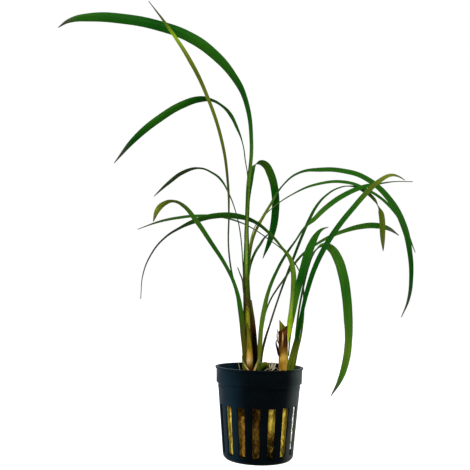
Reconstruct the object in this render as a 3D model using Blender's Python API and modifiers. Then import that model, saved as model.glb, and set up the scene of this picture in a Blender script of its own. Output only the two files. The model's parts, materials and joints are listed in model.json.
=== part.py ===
"""Mondo grass growing in a round net pot.

Two crowns stand on a plug of rock wool in a slotted black pot. The long narrow blades
rise from them in tight bundles and arch over to both sides. Metres, +Z up, with the
origin at the middle of the pot's base; the front of the plant faces -Y.
"""

import math

import bmesh
import bpy
from mathutils import Matrix

MM = 0.001

# Net pot
POT_HEIGHT = 50 * MM
RIM_RADIUS = 25 * MM
RIM_THICKNESS = 1.0 * MM
COLLAR_RADIUS = 24.4 * MM
COLLAR_HEIGHT = 9 * MM
STEP_RADIUS = 24.2 * MM
UNDER_STEP_RADIUS = 23.3 * MM
FOOT_RADIUS = 19.7 * MM
FOOT_CORNER = 2.4 * MM
WALL = 0.9 * MM
FLOOR = 1.2 * MM
POT_STEPS = 64

# Upright slots round the wall, and short ones in the floor
SLOT_COUNT = 16
SLOT_WIDTH = 4.3 * MM
SLOT_BOTTOM = 3.6 * MM
SLOT_TOP = 29.8 * MM
FIRST_SLOT_ANGLE = math.radians(-3.0)
FLOOR_SLOT_COUNT = 8
FLOOR_SLOT_WIDTH = 2.2 * MM
FLOOR_SLOT_LENGTH = 6 * MM
FLOOR_SLOT_MIDDLE = 9.5 * MM

# Rock wool plug
GAP = 0.3 * MM
WOOL_FOOT_RADIUS = 17.2 * MM
WOOL_MIDDLE_RADIUS = 19.4 * MM
WOOL_TOP_RADIUS = 20.8 * MM
WOOL_MIDDLE = 30 * MM
WOOL_TOP = 45 * MM
WOOL_EDGE = 1.5 * MM
WOOL_STEPS = 32

# Crowns, each a low dome on the wool
CROWN_HEIGHT = 2.9 * MM
CROWNS = {
    "left_crown": (-4.4 * MM, 0.0, 5.6 * MM),
    "right_crown": (16.2 * MM, 0.0, 4.8 * MM),
}

# Blades
BLADE_THICKNESS = 0.5 * MM
BLADE_FOLD = 0.10
SHEATH_FOLD = 0.42
TIP_WIDTH = 0.4 * MM
TIP_POWER = 2.6
FULL_WIDTH_AT = 0.5
SEGMENT = 6.5 * MM

# The tallest blade's lower part is a fat stem of sheaths clasped round one another
STEM_THICKNESS = 3.0 * MM
STEM_END = 60 * MM
STEM_FADE = 28 * MM

GREEN = (0.020, 0.110, 0.012)
DARK_GREEN = (0.010, 0.070, 0.010)
LIGHT_GREEN = (0.050, 0.170, 0.020)
OLIVE = (0.110, 0.140, 0.015)
TAN = (0.350, 0.190, 0.050)
BROWN = (0.060, 0.028, 0.012)

# Each blade is: greatest width, width at its base, length of its narrowing tip, colour, then
# the route of its midrib from base to tip. A point is (across, back, up) in millimetres and
# the blade's turn in degrees. At 0 the upper face looks to the front, at 90 it looks up and
# inwards over the plant, and at 180 the lower face looks to the front.
BLADES = {
    "tall_left_blade": (6.2, 3.6, 62, GREEN, [
        (-5.4, 0, 49, 90), (-6, 0, 62, 90), (-7.8, 0, 82, 90), (-8.2, 0, 100, 92),
        (-8.6, 0, 116, 104), (-9.2, 0, 132, 114), (-8.9, 0, 152, 114), (-7.4, 0, 180, 114),
        (-11.4, 0, 207.5, 118), (-18.6, 1, 221.3, 132), (-30.7, 2, 236.2, 152),
        (-46.5, 4, 248.3, 165), (-66.2, 7, 257, 168), (-89, 11, 263.4, 168),
        (-113, 15, 266.5, 164), (-127, 17, 265, 157), (-134, 18, 261, 147)]),
    "upright_olive_blade": (4.0, 2.4, 60, OLIVE, [
        (-8.2, -0.2, 49, 60), (-8.8, -0.3, 60, 60), (-11.2, -0.4, 80, 60),
        (-14.7, -0.4, 94, 68), (-17.3, -0.8, 105, 76), (-19.2, -2.5, 119, 82),
        (-19.3, -4, 136, 82), (-20.2, -5, 154, 78), (-24.4, -6, 179.7, 64),
        (-35, -6, 209.7, 56), (-44.5, -5.5, 228.7, 54), (-57.2, -4, 249, 50),
        (-71.5, -1, 269, 46)]),
    "upper_left_blade": (4.4, 2.0, 42, GREEN, [
        (-10.6, -1, 122, 92), (-10.8, -1.2, 138, 92), (-10.2, -1, 160, 92),
        (-11.9, -0.3, 179.5, 94), (-16.2, 0.5, 190.3, 108), (-20.3, 1, 197.8, 116),
        (-25.5, 1.5, 203.4, 96), (-31.5, 2, 207.2, 94), (-38, 2, 208, 135),
        (-48, 3, 205, 150), (-63, 5, 196.7, 160), (-78.5, 8, 184.5, 160),
        (-91.5, 11, 169.8, 150)]),
    "middle_left_blade": (3.2, 1.8, 30, DARK_GREEN, [
        (-10.6, -0.5, 98, 90), (-11, -0.4, 107, 92), (-12.9, 0.5, 129, 92),
        (-15.9, 1, 140, 92), (-19.4, 1.5, 148.7, 95), (-24.9, 3, 158.6, 108),
        (-30, 4, 162.6, 96), (-37.5, 5, 165.5, 94), (-47.3, 7, 163.7, 125),
        (-57.3, 9, 156.8, 135), (-66, 11, 149.5, 130)]),
    "low_left_blade": (3.8, 2.8, 24, OLIVE, [
        (-8.6, -2.8, 49.5, 140), (-8.8, -2.8, 57, 140), (-9.8, -3, 67, 140),
        (-11.5, -3.5, 81, 138), (-14.4, -4, 94, 132), (-19.6, -4.5, 105.2, 132),
        (-29.6, -6, 120.2, 138), (-38.8, -8, 133, 138), (-46, -9, 140, 118),
        (-51, -10, 142.6, 110), (-55.8, -11, 141.4, 128), (-59.5, -12, 138.2, 150),
        (-61.6, -13, 130.5, 158)]),
    "withered_tip_blade": (1.4, 1.2, 8, BROWN, [
        (-9.8, -3.4, 93, 60), (-10.6, -3.6, 99, 60), (-12, -3.8, 102.5, 60),
        (-13.3, -4, 106, 60)]),
    "long_right_blade": (4.8, 2.6, 50, GREEN, [
        (-5.6, 0.3, 108, 70), (-5.5, 1.8, 114, 68), (-3.3, 6.5, 125.3, 62),
        (-0.3, 12, 135, 62), (5.2, 16, 144.8, 68), (13.7, 20, 159.3, 80),
        (23.2, 24, 167.6, 75), (36.5, 28, 170.7, 56), (51, 31, 170.8, 50),
        (65.8, 33, 166.6, 42), (81.7, 34, 153, 34), (90, 34, 136.2, 30),
        (93.4, 33, 120, 30), (93.6, 32, 105, 32), (91.3, 31, 90, 34), (87, 30, 79, 40)]),
    "slender_right_blade": (3.4, 1.8, 36, GREEN, [
        (-7.4, 3.7, 100, 20), (-6.6, 5, 112, 50), (-4.5, 10, 130, 88), (-0.5, 17, 137, 88),
        (7, 20, 145, 84), (19, 22.5, 153.8, 74), (34, 24.5, 160.4, 60),
        (52.5, 26, 162.4, 52), (65.8, 26, 158, 52), (78.5, 25, 148.6, 46),
        (88, 23, 134.3, 42), (94, 21, 118.5, 40)]),
    "looped_blade": (4.8, 2.6, 34, DARK_GREEN, [
        (-7.9, 3.2, 134, 40), (-8, 3.8, 146, 55), (-7.4, 5.7, 161, 68),
        (-5.3, 8.5, 168, 80), (-2, 12, 171.6, 95), (2, 15, 171.4, 128),
        (5.8, 19, 166.8, 155), (8.2, 22.5, 156.4, 165), (8.5, 24, 143, 165),
        (6, 24.5, 127.5, 165), (1.3, 24.5, 114.7, 160)]),
    "short_back_blade": (2.6, 1.8, 18, DARK_GREEN, [
        (-5.3, 1.1, 94, 70), (-5, 2.9, 104, 65), (-4.3, 6.2, 112, 62),
        (-2.5, 11.5, 118, 62), (0.5, 20, 122.5, 60), (3.5, 27.5, 126.5, 55),
        (6.5, 33, 129, 50)]),
    "centre_shoot_blade": (3.4, 2.6, 55, LIGHT_GREEN, [
        (-1.3, -1.8, 49.2, 30), (-0.2, -1.7, 55, 30), (0.3, -1.4, 61, 28), (0.5, -1, 70, 28),
        (1.5, 0.5, 80, 38), (5, 3.5, 93, 52), (10, 8, 106, 58), (15, 12, 115, 62),
        (21, 12.5, 124, 76), (26, 12, 131.5, 72), (31, 11, 136, 45), (38, 9, 143, 32),
        (49, 7, 150.5, 22), (60.5, 4.5, 155.5, 22), (69.5, 3, 157, 55), (78.5, 2, 158, 66),
        (88, 1, 157.8, 66)]),
    "hooked_right_blade": (3.0, 1.5, 14, OLIVE, [
        (0.9, 1.4, 49.5, 60), (1.6, 2.2, 57, 60), (3, 3.4, 64, 62), (5.9, 6, 73.3, 66),
        (10.4, 9.5, 87.8, 72), (14.9, 13, 99.8, 68), (19.4, 16, 111.8, 62),
        (25.4, 17, 127.3, 62), (29.4, 17, 137.3, 58), (34.4, 17, 146.7, 62),
        (39.8, 16.5, 152.6, 70), (46, 15, 156.2, 76), (53, 13, 157.4, 84),
        (60.5, 10.5, 154.2, 122), (66.8, 8, 148.2, 112), (69.7, 7, 143, 92),
        (71, 6, 136, 30), (71.2, 5.5, 126.5, 5), (71.4, 5, 117.5, 5)]),
    "level_right_blade": (3.8, 1.6, 30, GREEN, [
        (3.2, 2.2, 76, 70), (5.8, 5, 87, 70), (10.2, 7, 94.8, 70), (14.5, 8.5, 100.5, 70),
        (20, 11.5, 109.3, 68), (26, 13, 116.3, 70), (33.4, 14.5, 121.8, 68),
        (41.5, 16, 126.6, 56), (51, 17, 130.6, 40), (60, 17.5, 133.3, 28),
        (69.4, 17.5, 134, 22), (76.8, 16, 132.1, 30), (83, 15, 128, 40)]),
    "bright_sheathed_blade": (4.0, 3.2, 80, LIGHT_GREEN, [
        (13.8, 0.8, 49, 150), (15.3, 0.5, 60.5, 150), (16.6, 0.5, 72, 150),
        (18, 0.5, 84, 150), (18.8, 0.5, 95, 148), (18.6, 0.8, 104, 140), (16.9, 1.6, 111.3, 126),
        (12.2, 2.8, 118, 106), (4.7, 4.5, 126.7, 108), (-4.7, 6.5, 133.8, 114),
        (-15.6, 8.8, 137.3, 140), (-27.5, 11.5, 137.8, 146), (-39, 14, 135.3, 132),
        (-49.8, 16, 130.2, 108), (-59.8, 18, 123.8, 96), (-68, 20, 113.8, 92),
        (-73, 22, 102, 92), (-74.3, 24, 87, 92)]),
    "crossing_left_blade": (2.8, 1.8, 45, DARK_GREEN, [
        (20.4, 2.6, 49.5, 50), (21.6, 2.8, 58, 50), (23.7, 3.4, 67, 54), (25.2, 4.4, 77, 66),
        (25.3, 5.6, 88, 76), (24, 6.6, 100, 80), (20, 7.6, 109.5, 80), (13.5, 8.8, 117, 80),
        (4, 12, 124.5, 80), (-7, 15.5, 132, 76), (-17.5, 17, 136.3, 66),
        (-28, 18.5, 138.6, 56), (-39.5, 19.5, 138.9, 50), (-51, 20.5, 137.8, 48),
        (-63.5, 22, 135.4, 46), (-78, 24, 130.5, 46)]),
    "broad_short_blade": (5.2, 1.0, 18, DARK_GREEN, [
        (18.4, -2.4, 70, 25), (19.2, -2.3, 77, 25), (20.6, -2.3, 84, 25),
        (22.6, -2.6, 93, 20), (24.7, -3, 106, 12), (26.8, -3.5, 114.5, 8),
        (28.8, -4, 120, 10), (31.3, -5, 125, 12), (34, -6, 128, 20), (38, -8, 129.5, 40)]),
    "long_dark_blade": (3.3, 3.2, 26, DARK_GREEN, [
        (18.6, -1.4, 49.5, 35), (19.4, -1.5, 58, 30), (20.8, -2, 66.5, 30), (24, -3, 83, 28),
        (27.4, -4, 95, 28), (31.2, -4.5, 106.5, 28), (36.5, -5, 118, 25),
        (44.3, -5, 130.4, 25), (52.4, -5, 141, 25), (61, -5, 151, 28), (67.8, -6, 157.2, 30),
        (74, -7, 160.2, 40), (78.5, -8, 159, 40), (81.5, -9, 157.5, 40)]),
    "broad_drooping_blade": (5.4, 2.0, 44, GREEN, [
        (22.3, 2.2, 81, 68), (23.6, 2, 89, 68), (25.5, 2, 98.5, 70), (27.8, 1.8, 108, 72),
        (30, 1.8, 114, 76), (32.7, 1.6, 118, 86), (36.4, 1, 119.8, 70), (40.2, 0, 117.8, 40),
        (43.6, -1.5, 112.3, 20), (46.6, -4, 102.6, 18), (48.2, -6, 92, 22),
        (48.8, -9, 79, 26), (48.4, -12, 66, 25), (46.5, -14, 55, 22),
        (43.3, -16, 45, 22), (38.4, -18, 37, 25)]),
}

# Dried sheaths and the old stub wrap the feet of the bundles, outer face to the front
SHEATHS = {
    "left_tan_sheath": (3.8, 3.6, 9, TAN, [
        (-5.1, -4, 49.2, 180), (-5.5, -4.1, 58, 180), (-6.2, -4, 66, 178),
        (-7.2, -3.8, 74, 176)]),
    "left_dark_sheath": (2.6, 2.4, 18, BROWN, [
        (-1.8, 0.2, 49, 180), (-2.3, 0, 62, 180), (-3.4, -0.2, 72, 176),
        (-4.6, -0.2, 81, 172)]),
    "brown_stub_sheath": (6.0, 5.6, 10, BROWN, [
        (13, -4.2, 48.8, 180), (13, -4.4, 58, 180), (12.6, -4.6, 68, 180),
        (11.4, -4.8, 78, 180)]),
    "old_leaf_stub": (3.0, 2.6, 2, TAN, [
        (2.6, -2.2, 49, 175), (3.4, -2.3, 51, 172), (4.8, -2.4, 52.8, 170)]),
}


def clear_scene():
    for old in list(bpy.data.objects):
        bpy.data.objects.remove(old)


def new_collection(name):
    group = bpy.data.collections.new(name)
    bpy.context.scene.collection.children.link(group)
    return group


def plain_material(name, colour, roughness):
    material = bpy.data.materials.new(name)
    material.use_nodes = True
    shader = material.node_tree.nodes["Principled BSDF"]
    shader.inputs["Base Color"].default_value = (*colour, 1.0)
    shader.inputs["Roughness"].default_value = roughness
    shader.inputs["Metallic"].default_value = 0.0
    return material


def link_mesh(name, bm, group):
    mesh = bpy.data.meshes.new(name)
    bm.to_mesh(mesh)
    bm.free()
    piece = bpy.data.objects.new(name, mesh)
    group.objects.link(piece)
    return piece


def as_guide(helper):
    helper.hide_render = True
    helper.display_type = "WIRE"
    return helper


def turned(name, profile, steps, group):
    """Spin a profile of (radius, height) points about the upright axis."""
    bm = bmesh.new()
    points = [bm.verts.new((radius, 0.0, height)) for radius, height in profile]
    for upper, lower in zip(points, points[1:]):
        bm.edges.new((upper, lower))
    piece = link_mesh(name, bm, group)
    screw = piece.modifiers.new("turn", "SCREW")
    screw.axis = "Z"
    screw.angle = math.tau
    screw.steps = steps
    screw.render_steps = steps
    screw.use_merge_vertices = True
    screw.merge_threshold = 0.00001
    screw.use_smooth_shade = True
    return piece


def corner_arc(middle_radius, middle_height, radius, points):
    """The rounded outer corner of the pot's foot, from the wall round to the floor."""
    angles = [math.pi / 2 * step / (points - 1) for step in range(points)]
    return [(middle_radius + radius * math.cos(angle), middle_height - radius * math.sin(angle))
            for angle in angles]


def make_slot_cutter(helpers):
    bm = bmesh.new()
    wall_middle = (RIM_RADIUS + WOOL_FOOT_RADIUS) / 2
    wall_depth = RIM_RADIUS - WOOL_FOOT_RADIUS
    wall_box = (wall_depth, SLOT_WIDTH, SLOT_TOP - SLOT_BOTTOM)
    floor_box = (FLOOR_SLOT_LENGTH, FLOOR_SLOT_WIDTH, 4 * FLOOR)

    def ring(count, middle, height, size):
        for index in range(count):
            angle = FIRST_SLOT_ANGLE - math.pi / 2 + math.tau * index / count
            place = (Matrix.Rotation(angle, 4, "Z") @ Matrix.Translation((middle, 0, height))
                     @ Matrix.Diagonal((*size, 1.0)))
            bmesh.ops.create_cube(bm, size=1.0, matrix=place)

    ring(SLOT_COUNT, wall_middle, (SLOT_TOP + SLOT_BOTTOM) / 2, wall_box)
    ring(FLOOR_SLOT_COUNT, FLOOR_SLOT_MIDDLE, 0.0, floor_box)
    return as_guide(link_mesh("slot_cutter", bm, helpers))


def make_pot(group, helpers):
    corner_height = FOOT_CORNER
    step_height = POT_HEIGHT - COLLAR_HEIGHT
    under_rim = POT_HEIGHT - RIM_THICKNESS
    inner = [(0.0, FLOOR), (FOOT_RADIUS - FOOT_CORNER, FLOOR),
             (FOOT_RADIUS - WALL, corner_height), (UNDER_STEP_RADIUS - WALL, step_height - WALL),
             (STEP_RADIUS - WALL, step_height + WALL), (COLLAR_RADIUS - WALL, POT_HEIGHT)]
    outer = [(RIM_RADIUS, POT_HEIGHT), (RIM_RADIUS, under_rim), (COLLAR_RADIUS, under_rim),
             (STEP_RADIUS, step_height), (UNDER_STEP_RADIUS, step_height)]
    foot = corner_arc(FOOT_RADIUS - FOOT_CORNER, corner_height, FOOT_CORNER, 5)
    pot = turned("net_pot", inner + outer + foot + [(0.0, 0.0)], POT_STEPS, group)
    cut = pot.modifiers.new("slots", "BOOLEAN")
    cut.operation = "DIFFERENCE"
    cut.solver = "EXACT"
    cut.object = make_slot_cutter(helpers)
    pot.data.materials.append(plain_material("black_plastic", (0.012, 0.014, 0.017), 0.42))
    return pot


def make_wool(group):
    bottom = FLOOR + GAP
    profile = [(0.0, WOOL_TOP), (WOOL_TOP_RADIUS - WOOL_EDGE, WOOL_TOP),
               (WOOL_TOP_RADIUS, WOOL_TOP - WOOL_EDGE), (WOOL_MIDDLE_RADIUS, WOOL_MIDDLE),
               (WOOL_FOOT_RADIUS, bottom + WOOL_EDGE),
               (WOOL_FOOT_RADIUS - WOOL_EDGE, bottom), (0.0, bottom)]
    wool = turned("rock_wool_plug", profile, WOOL_STEPS, group)
    wool.data.materials.append(plain_material("rock_wool", (0.330, 0.220, 0.060), 0.95))
    return wool


def make_crown(name, across, back, radius, group):
    rings = 4
    angles = [math.pi / 2 * step / rings for step in range(rings + 1)]
    profile = [(radius * math.sin(angle), CROWN_HEIGHT * math.cos(angle)) for angle in angles]
    profile[0] = (0.0, CROWN_HEIGHT)
    crown = turned(name, profile + [(0.0, 0.0)], 20, group)
    crown.location = (across, back, WOOL_TOP + GAP)
    crown.data.materials.append(plain_material(name + "_flesh", (0.300, 0.240, 0.120), 0.8))
    return crown


def blade_width(distance, length, widest, base, tip):
    """Width at a distance from the base: it swells to the middle and narrows over the tip."""
    rise = min(distance / (length * FULL_WIDTH_AT), 1.0)
    width = base + (widest - base) * rise * rise * (3 - 2 * rise)
    into_tip = (distance - (length - tip)) / tip
    if into_tip > 0:
        width *= 1 - min(into_tip, 1.0) ** TIP_POWER
    return max(width, TIP_WIDTH)


def make_route(name, points, standing, helpers):
    """The midrib as a curve, drawn flat and stood up by the empty that it hangs from."""
    curve = bpy.data.curves.new(name + "_route", "CURVE")
    curve.dimensions = "3D"
    curve.twist_mode = "Z_UP"
    curve.use_stretch = True
    curve.use_deform_bounds = True
    spline = curve.splines.new("BEZIER")
    spline.bezier_points.add(len(points) - 1)
    goes_right = points[-1][0] > points[0][0]
    for knot, (across, back, up, turn) in zip(spline.bezier_points, points):
        knot.co = (across * MM, up * MM, -back * MM)
        knot.handle_left_type = "AUTO"
        knot.handle_right_type = "AUTO"
        knot.tilt = math.radians(-turn if goes_right else turn)
    route = as_guide(bpy.data.objects.new(name + "_route", curve))
    helpers.objects.link(route)
    route.parent = standing
    return route


def route_length(points):
    return sum(math.dist(a[:3], b[:3]) for a, b in zip(points, points[1:])) * MM


def make_strip(name, spec, fold, thickness, across_count, standing, group, helpers):
    """A tapering folded strip, bent along its route and given its thickness."""
    widest, base, tip, colour, points = spec
    length = route_length(points)
    along_count = max(4, round(length / SEGMENT))
    bm = bmesh.new()
    bmesh.ops.create_grid(bm, x_segments=along_count, y_segments=across_count, size=0.5)
    for vertex in bm.verts:
        distance = (vertex.co.x + 0.5) * length
        width = blade_width(distance, length, widest * MM, base * MM, tip * MM)
        side = 2 * vertex.co.y
        vertex.co = (distance, side * width / 2, fold * width * side * side)
    strip = link_mesh(name, bm, group)
    strip.parent = standing
    bend = strip.modifiers.new("bend", "CURVE")
    bend.object = make_route(name, points, standing, helpers)
    bend.deform_axis = "POS_X"
    shell = strip.modifiers.new("thickness", "SOLIDIFY")
    shell.thickness = thickness
    shell.offset = 0.0
    strip.data.materials.append(plain_material(name + "_leaf", colour, 0.45))
    return strip


def thicken_stem(blade):
    """Make the lower part of a blade a fat stem that thins out into the blade."""
    shell = blade.modifiers["thickness"]
    shell.thickness = STEM_THICKNESS
    thin = BLADE_THICKNESS / STEM_THICKNESS
    weights = blade.vertex_groups.new(name="stem")
    for vertex in blade.data.vertices:
        fade = min(max((vertex.co.x - STEM_END) / STEM_FADE, 0.0), 1.0)
        weights.add([vertex.index], 1 - (1 - thin) * fade, "REPLACE")
    shell.vertex_group = weights.name


def make_plant(group, helpers):
    standing = bpy.data.objects.new("standing", None)
    standing.rotation_euler = (math.pi / 2, 0.0, 0.0)
    helpers.objects.link(standing)
    for name, (across, back, radius) in CROWNS.items():
        make_crown(name, across, back, radius, group)
    for name, spec in BLADES.items():
        blade = make_strip(name, spec, BLADE_FOLD, BLADE_THICKNESS, 2, standing, group, helpers)
        if name == "tall_left_blade":
            thicken_stem(blade)
    for name, spec in SHEATHS.items():
        make_strip(name, spec, SHEATH_FOLD, BLADE_THICKNESS, 4, standing, group, helpers)


def main():
    clear_scene()
    group = new_collection("potted_mondo_grass")
    helpers = new_collection("guides_and_cutters")
    make_pot(group, helpers)
    make_wool(group)
    make_plant(group, helpers)


main()
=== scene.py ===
# %% [markdown]
# # A young mondo grass in its net pot
# The object is a mondo grass, a small evergreen that looks like grass, sold for tanks and
# terrariums in a slotted black net pot. It has two tufts of long narrow leaves.
# The CAD model holds every piece at its place. Here each solid is replaced by a finer
# piece that follows the same measurements, and gets a finish made of nodes.

# %% Load the CAD frame
import json
import math
import random

import bmesh
import bpy
from mathutils import Matrix


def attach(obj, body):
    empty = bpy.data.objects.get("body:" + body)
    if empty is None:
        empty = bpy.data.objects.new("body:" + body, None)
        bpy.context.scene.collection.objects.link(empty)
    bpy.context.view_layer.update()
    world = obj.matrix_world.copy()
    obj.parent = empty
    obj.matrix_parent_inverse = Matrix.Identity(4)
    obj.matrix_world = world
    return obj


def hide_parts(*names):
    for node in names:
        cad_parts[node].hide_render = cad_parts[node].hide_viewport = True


MM = 0.001
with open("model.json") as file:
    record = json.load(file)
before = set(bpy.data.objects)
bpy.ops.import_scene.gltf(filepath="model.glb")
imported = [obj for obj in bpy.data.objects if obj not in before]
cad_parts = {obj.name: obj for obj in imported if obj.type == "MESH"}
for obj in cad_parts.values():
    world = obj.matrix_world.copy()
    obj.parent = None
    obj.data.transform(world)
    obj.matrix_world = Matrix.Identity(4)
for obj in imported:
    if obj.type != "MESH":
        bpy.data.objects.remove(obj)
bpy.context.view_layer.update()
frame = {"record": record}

# %% [markdown]
# ## The camera and the light
# The photograph is taken from just above the pot, a third of a metre away, on pure white.
# A lens has no meaning without the frame it fills, so the focal length is worked out from
# the photograph's width in pixels. The camera stands where the pot's rim and foot look as
# flat as they do there, turned a little left and tipped up to take in the tall leaf.

# %% Place the camera
# the focal length and the photograph's width in pixels, and the sensor's width in mm
FOCAL_PIXELS = 603.3
FRAME_PIXELS = 470
SENSOR = 36
NEAR_CLIP = 10 * MM
CAMERA_PLACE = (0, -350 * MM, 83.5 * MM)
TIP_UP = math.radians(6.758)
TURN_LEFT = math.radians(2.517)
ROLL = math.radians(1.195)

bpy.ops.object.camera_add(location=CAMERA_PLACE)
camera = bpy.context.object
camera.name = "camera"
aim = Matrix.Rotation(TURN_LEFT, 3, "Z") @ Matrix.Rotation(math.pi / 2 + TIP_UP, 3, "X")
camera.rotation_euler = (aim @ Matrix.Rotation(ROLL, 3, "Z")).to_euler()
camera.data.sensor_width = SENSOR
camera.data.lens = FOCAL_PIXELS / FRAME_PIXELS * SENSOR
camera.data.clip_start = NEAR_CLIP
bpy.context.scene.camera = camera
print("lens", round(camera.data.lens, 2), "mm")

# %% [markdown]
# A product picture like this is lit by large soft boxes, with bright paper behind and below
# the plant and a dark room behind the camera. The dark room is what keeps the front of
# the pot black, and the paper gives its sides their pale edge. The world does the paper
# and the room, and three area lights high in front do the soft boxes.

# %% Hang the lights
def area_light(name, place, watts, size):
    """A square soft box that faces the plant, its place and side in metres."""
    bpy.ops.object.light_add(type="AREA", location=place)
    light = bpy.context.object
    light.name = name
    light.data.energy = watts
    light.data.size = size
    light.rotation_euler = (-light.location).to_track_quat("-Z", "Y").to_euler()
    return light


area_light("key_left", (-0.85, -0.50, 0.70), 9.0, 0.5)
area_light("key_front", (0.05, -0.95, 0.90), 9.0, 0.6)
area_light("key_right", (0.80, -0.55, 0.75), 5.0, 0.5)

# %% Paper behind, a dark room in front
# the strength of each, and where one turns into the other, on the way from -1 behind the
# camera to 1 behind the plant
ROOM_STRENGTH = 0.05
PAPER_STRENGTH = 0.70
ROOM_ENDS = -0.55
PAPER_BEGINS = 0.35
world = bpy.data.worlds.new("white_studio")
bpy.context.scene.world = world
world.use_nodes = True
sky = world.node_tree
sky.nodes.clear()
direction = sky.nodes.new("ShaderNodeTexCoord")
split = sky.nodes.new("ShaderNodeSeparateXYZ")
sky.links.new(direction.outputs["Generated"], split.inputs[0])
room = sky.nodes.new("ShaderNodeMapRange")
room.interpolation_type = "SMOOTHSTEP"
room.inputs["From Min"].default_value = ROOM_ENDS
room.inputs["From Max"].default_value = PAPER_BEGINS
room.inputs["To Min"].default_value = ROOM_STRENGTH
room.inputs["To Max"].default_value = PAPER_STRENGTH
sky.links.new(split.outputs["Y"], room.inputs["Value"])
lit = sky.nodes.new("ShaderNodeBackground")
sky.links.new(room.outputs[0], lit.inputs["Strength"])
seen = sky.nodes.new("ShaderNodeBackground")
seen.inputs["Strength"].default_value = 1.0
seen.inputs["Color"].default_value = (1, 1, 1, 1)
ray = sky.nodes.new("ShaderNodeLightPath")
choose = sky.nodes.new("ShaderNodeMixShader")
paper = sky.nodes.new("ShaderNodeOutputWorld")
sky.links.new(ray.outputs["Is Camera Ray"], choose.inputs[0])
sky.links.new(lit.outputs[0], choose.inputs[1])
sky.links.new(seen.outputs[0], choose.inputs[2])
sky.links.new(choose.outputs[0], paper.inputs[0])
bpy.context.scene.view_settings.view_transform = "Standard"
print("the paper is", round(PAPER_STRENGTH / ROOM_STRENGTH), "times as bright as the room")

# %% [markdown]
# ## Tools for the hand
# Every piece below starts as a plain primitive and is shaped in edit mode. An operator
# acts on whatever is selected, so two small helpers come first: one clears the selection,
# and one selects the corners, edges or faces whose middle passes a test.

# %% Selecting
def deselect_all():
    active = bpy.context.view_layer.objects.active
    if active and active.mode != "OBJECT":
        bpy.ops.object.mode_set(mode="OBJECT")
    bpy.ops.object.select_all(action="DESELECT")


def select_only(piece):
    deselect_all()
    piece.select_set(True)
    bpy.context.view_layer.objects.active = piece


def pick(piece, kind, wanted):
    """In edit mode, select only the parts whose middle passes the test, and count them."""
    bpy.ops.mesh.select_mode(type=kind)
    bpy.ops.mesh.select_all(action="DESELECT")
    bm = bmesh.from_edit_mesh(piece.data)
    if kind == "VERT":
        chosen = [corner for corner in bm.verts if wanted(corner.co)]
    elif kind == "EDGE":
        chosen = [edge for edge in bm.edges
                  if wanted((edge.verts[0].co + edge.verts[1].co) / 2)]
    else:
        chosen = [face for face in bm.faces if wanted(face.calc_center_median())]
    for part in chosen:
        part.select_set(True)
    bmesh.update_edit_mesh(piece.data)
    return len(chosen)


deselect_all()

# %% [markdown]
# A piece is finished when its modifiers are applied, its place is in its mesh, its doubles
# are gone and its faces point outwards. Then it stands in for its CAD solids, rides on
# the plant's one body and takes its finish.

# %% Finishing a piece
MERGE_DISTANCE = 0.002 * MM


def round_off(piece, levels):
    """Subdivide as finely in the window as in the render."""
    smoother = piece.modifiers.new("round", "SUBSURF")
    smoother.levels = levels
    smoother.render_levels = levels


def apply_modifiers(piece):
    select_only(piece)
    for modifier in list(piece.modifiers):
        bpy.ops.object.modifier_apply(modifier=modifier.name)


def close_up(piece, smooth_angle):
    """Merge doubles, point all faces outwards, and shade bends below the angle smooth."""
    select_only(piece)
    bpy.ops.object.transform_apply(location=True, rotation=True, scale=True)
    bpy.ops.object.mode_set(mode="EDIT")
    bpy.ops.mesh.select_all(action="SELECT")
    bpy.ops.mesh.remove_doubles(threshold=MERGE_DISTANCE)
    bpy.ops.mesh.normals_make_consistent(inside=False)
    bpy.ops.object.mode_set(mode="OBJECT")
    bpy.ops.object.shade_smooth_by_angle(angle=math.radians(smooth_angle))
    return piece


def hand_over(piece, slot, material, *nodes):
    """Give the piece its finish, its place on the body, and the CAD nodes it replaces."""
    piece.data.materials.clear()
    piece.data.materials.append(material)
    if nodes:
        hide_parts(*nodes)
    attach(piece, "root")
    print(piece.name, len(piece.data.polygons), "faces")
    return piece


print("corners closer than", round(MERGE_DISTANCE / MM, 4), "mm are merged")

# %% [markdown]
# ## Tools for the finishes
# A material is a tree of nodes. The next cell holds short names for the nodes that come
# back in every tree: a sum, a product, a soft step, a mix of two colours, a tint, a noise,
# a ramp, and the two kinds of place that a pattern can follow.

# %% Short names for nodes
def feed(tree, socket, value):
    """Link the socket where the value is another node's output, and set it otherwise."""
    if isinstance(value, bpy.types.NodeSocket):
        tree.links.new(value, socket)
    else:
        socket.default_value = value


def maths(tree, operation, *values):
    made = tree.nodes.new("ShaderNodeMath")
    made.operation = operation
    for socket, value in zip(made.inputs, values):
        feed(tree, socket, value)
    return made.outputs[0]


def times(tree, first, second):
    return maths(tree, "MULTIPLY", first, second)


def soft_step(tree, value, start, end, low=0.0, high=1.0):
    made = tree.nodes.new("ShaderNodeMapRange")
    made.interpolation_type = "SMOOTHSTEP"
    for socket, amount in zip(made.inputs[:5], (value, start, end, low, high)):
        feed(tree, socket, amount)
    return made.outputs[0]


def blend(tree, amount, first, second, how="MIX"):
    made = tree.nodes.new("ShaderNodeMix")
    made.data_type = "RGBA"
    made.blend_type = how
    feed(tree, made.inputs[0], amount)
    for socket, colour in zip(made.inputs[6:8], (first, second)):
        feed(tree, socket, (*colour, 1.0) if isinstance(colour, tuple) else colour)
    return made.outputs[2]


def tint(tree, colour, factors):
    """The colour with its red, green and blue each multiplied by a factor."""
    return blend(tree, 1.0, colour, factors, "MULTIPLY")


def noise(tree, place, scale, detail=3.0, rough=0.55):
    made = tree.nodes.new("ShaderNodeTexNoise")
    feed(tree, made.inputs["Vector"], place)
    feed(tree, made.inputs["Scale"], scale)
    made.inputs["Detail"].default_value = detail
    made.inputs["Roughness"].default_value = rough
    return made.outputs["Fac"]


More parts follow.
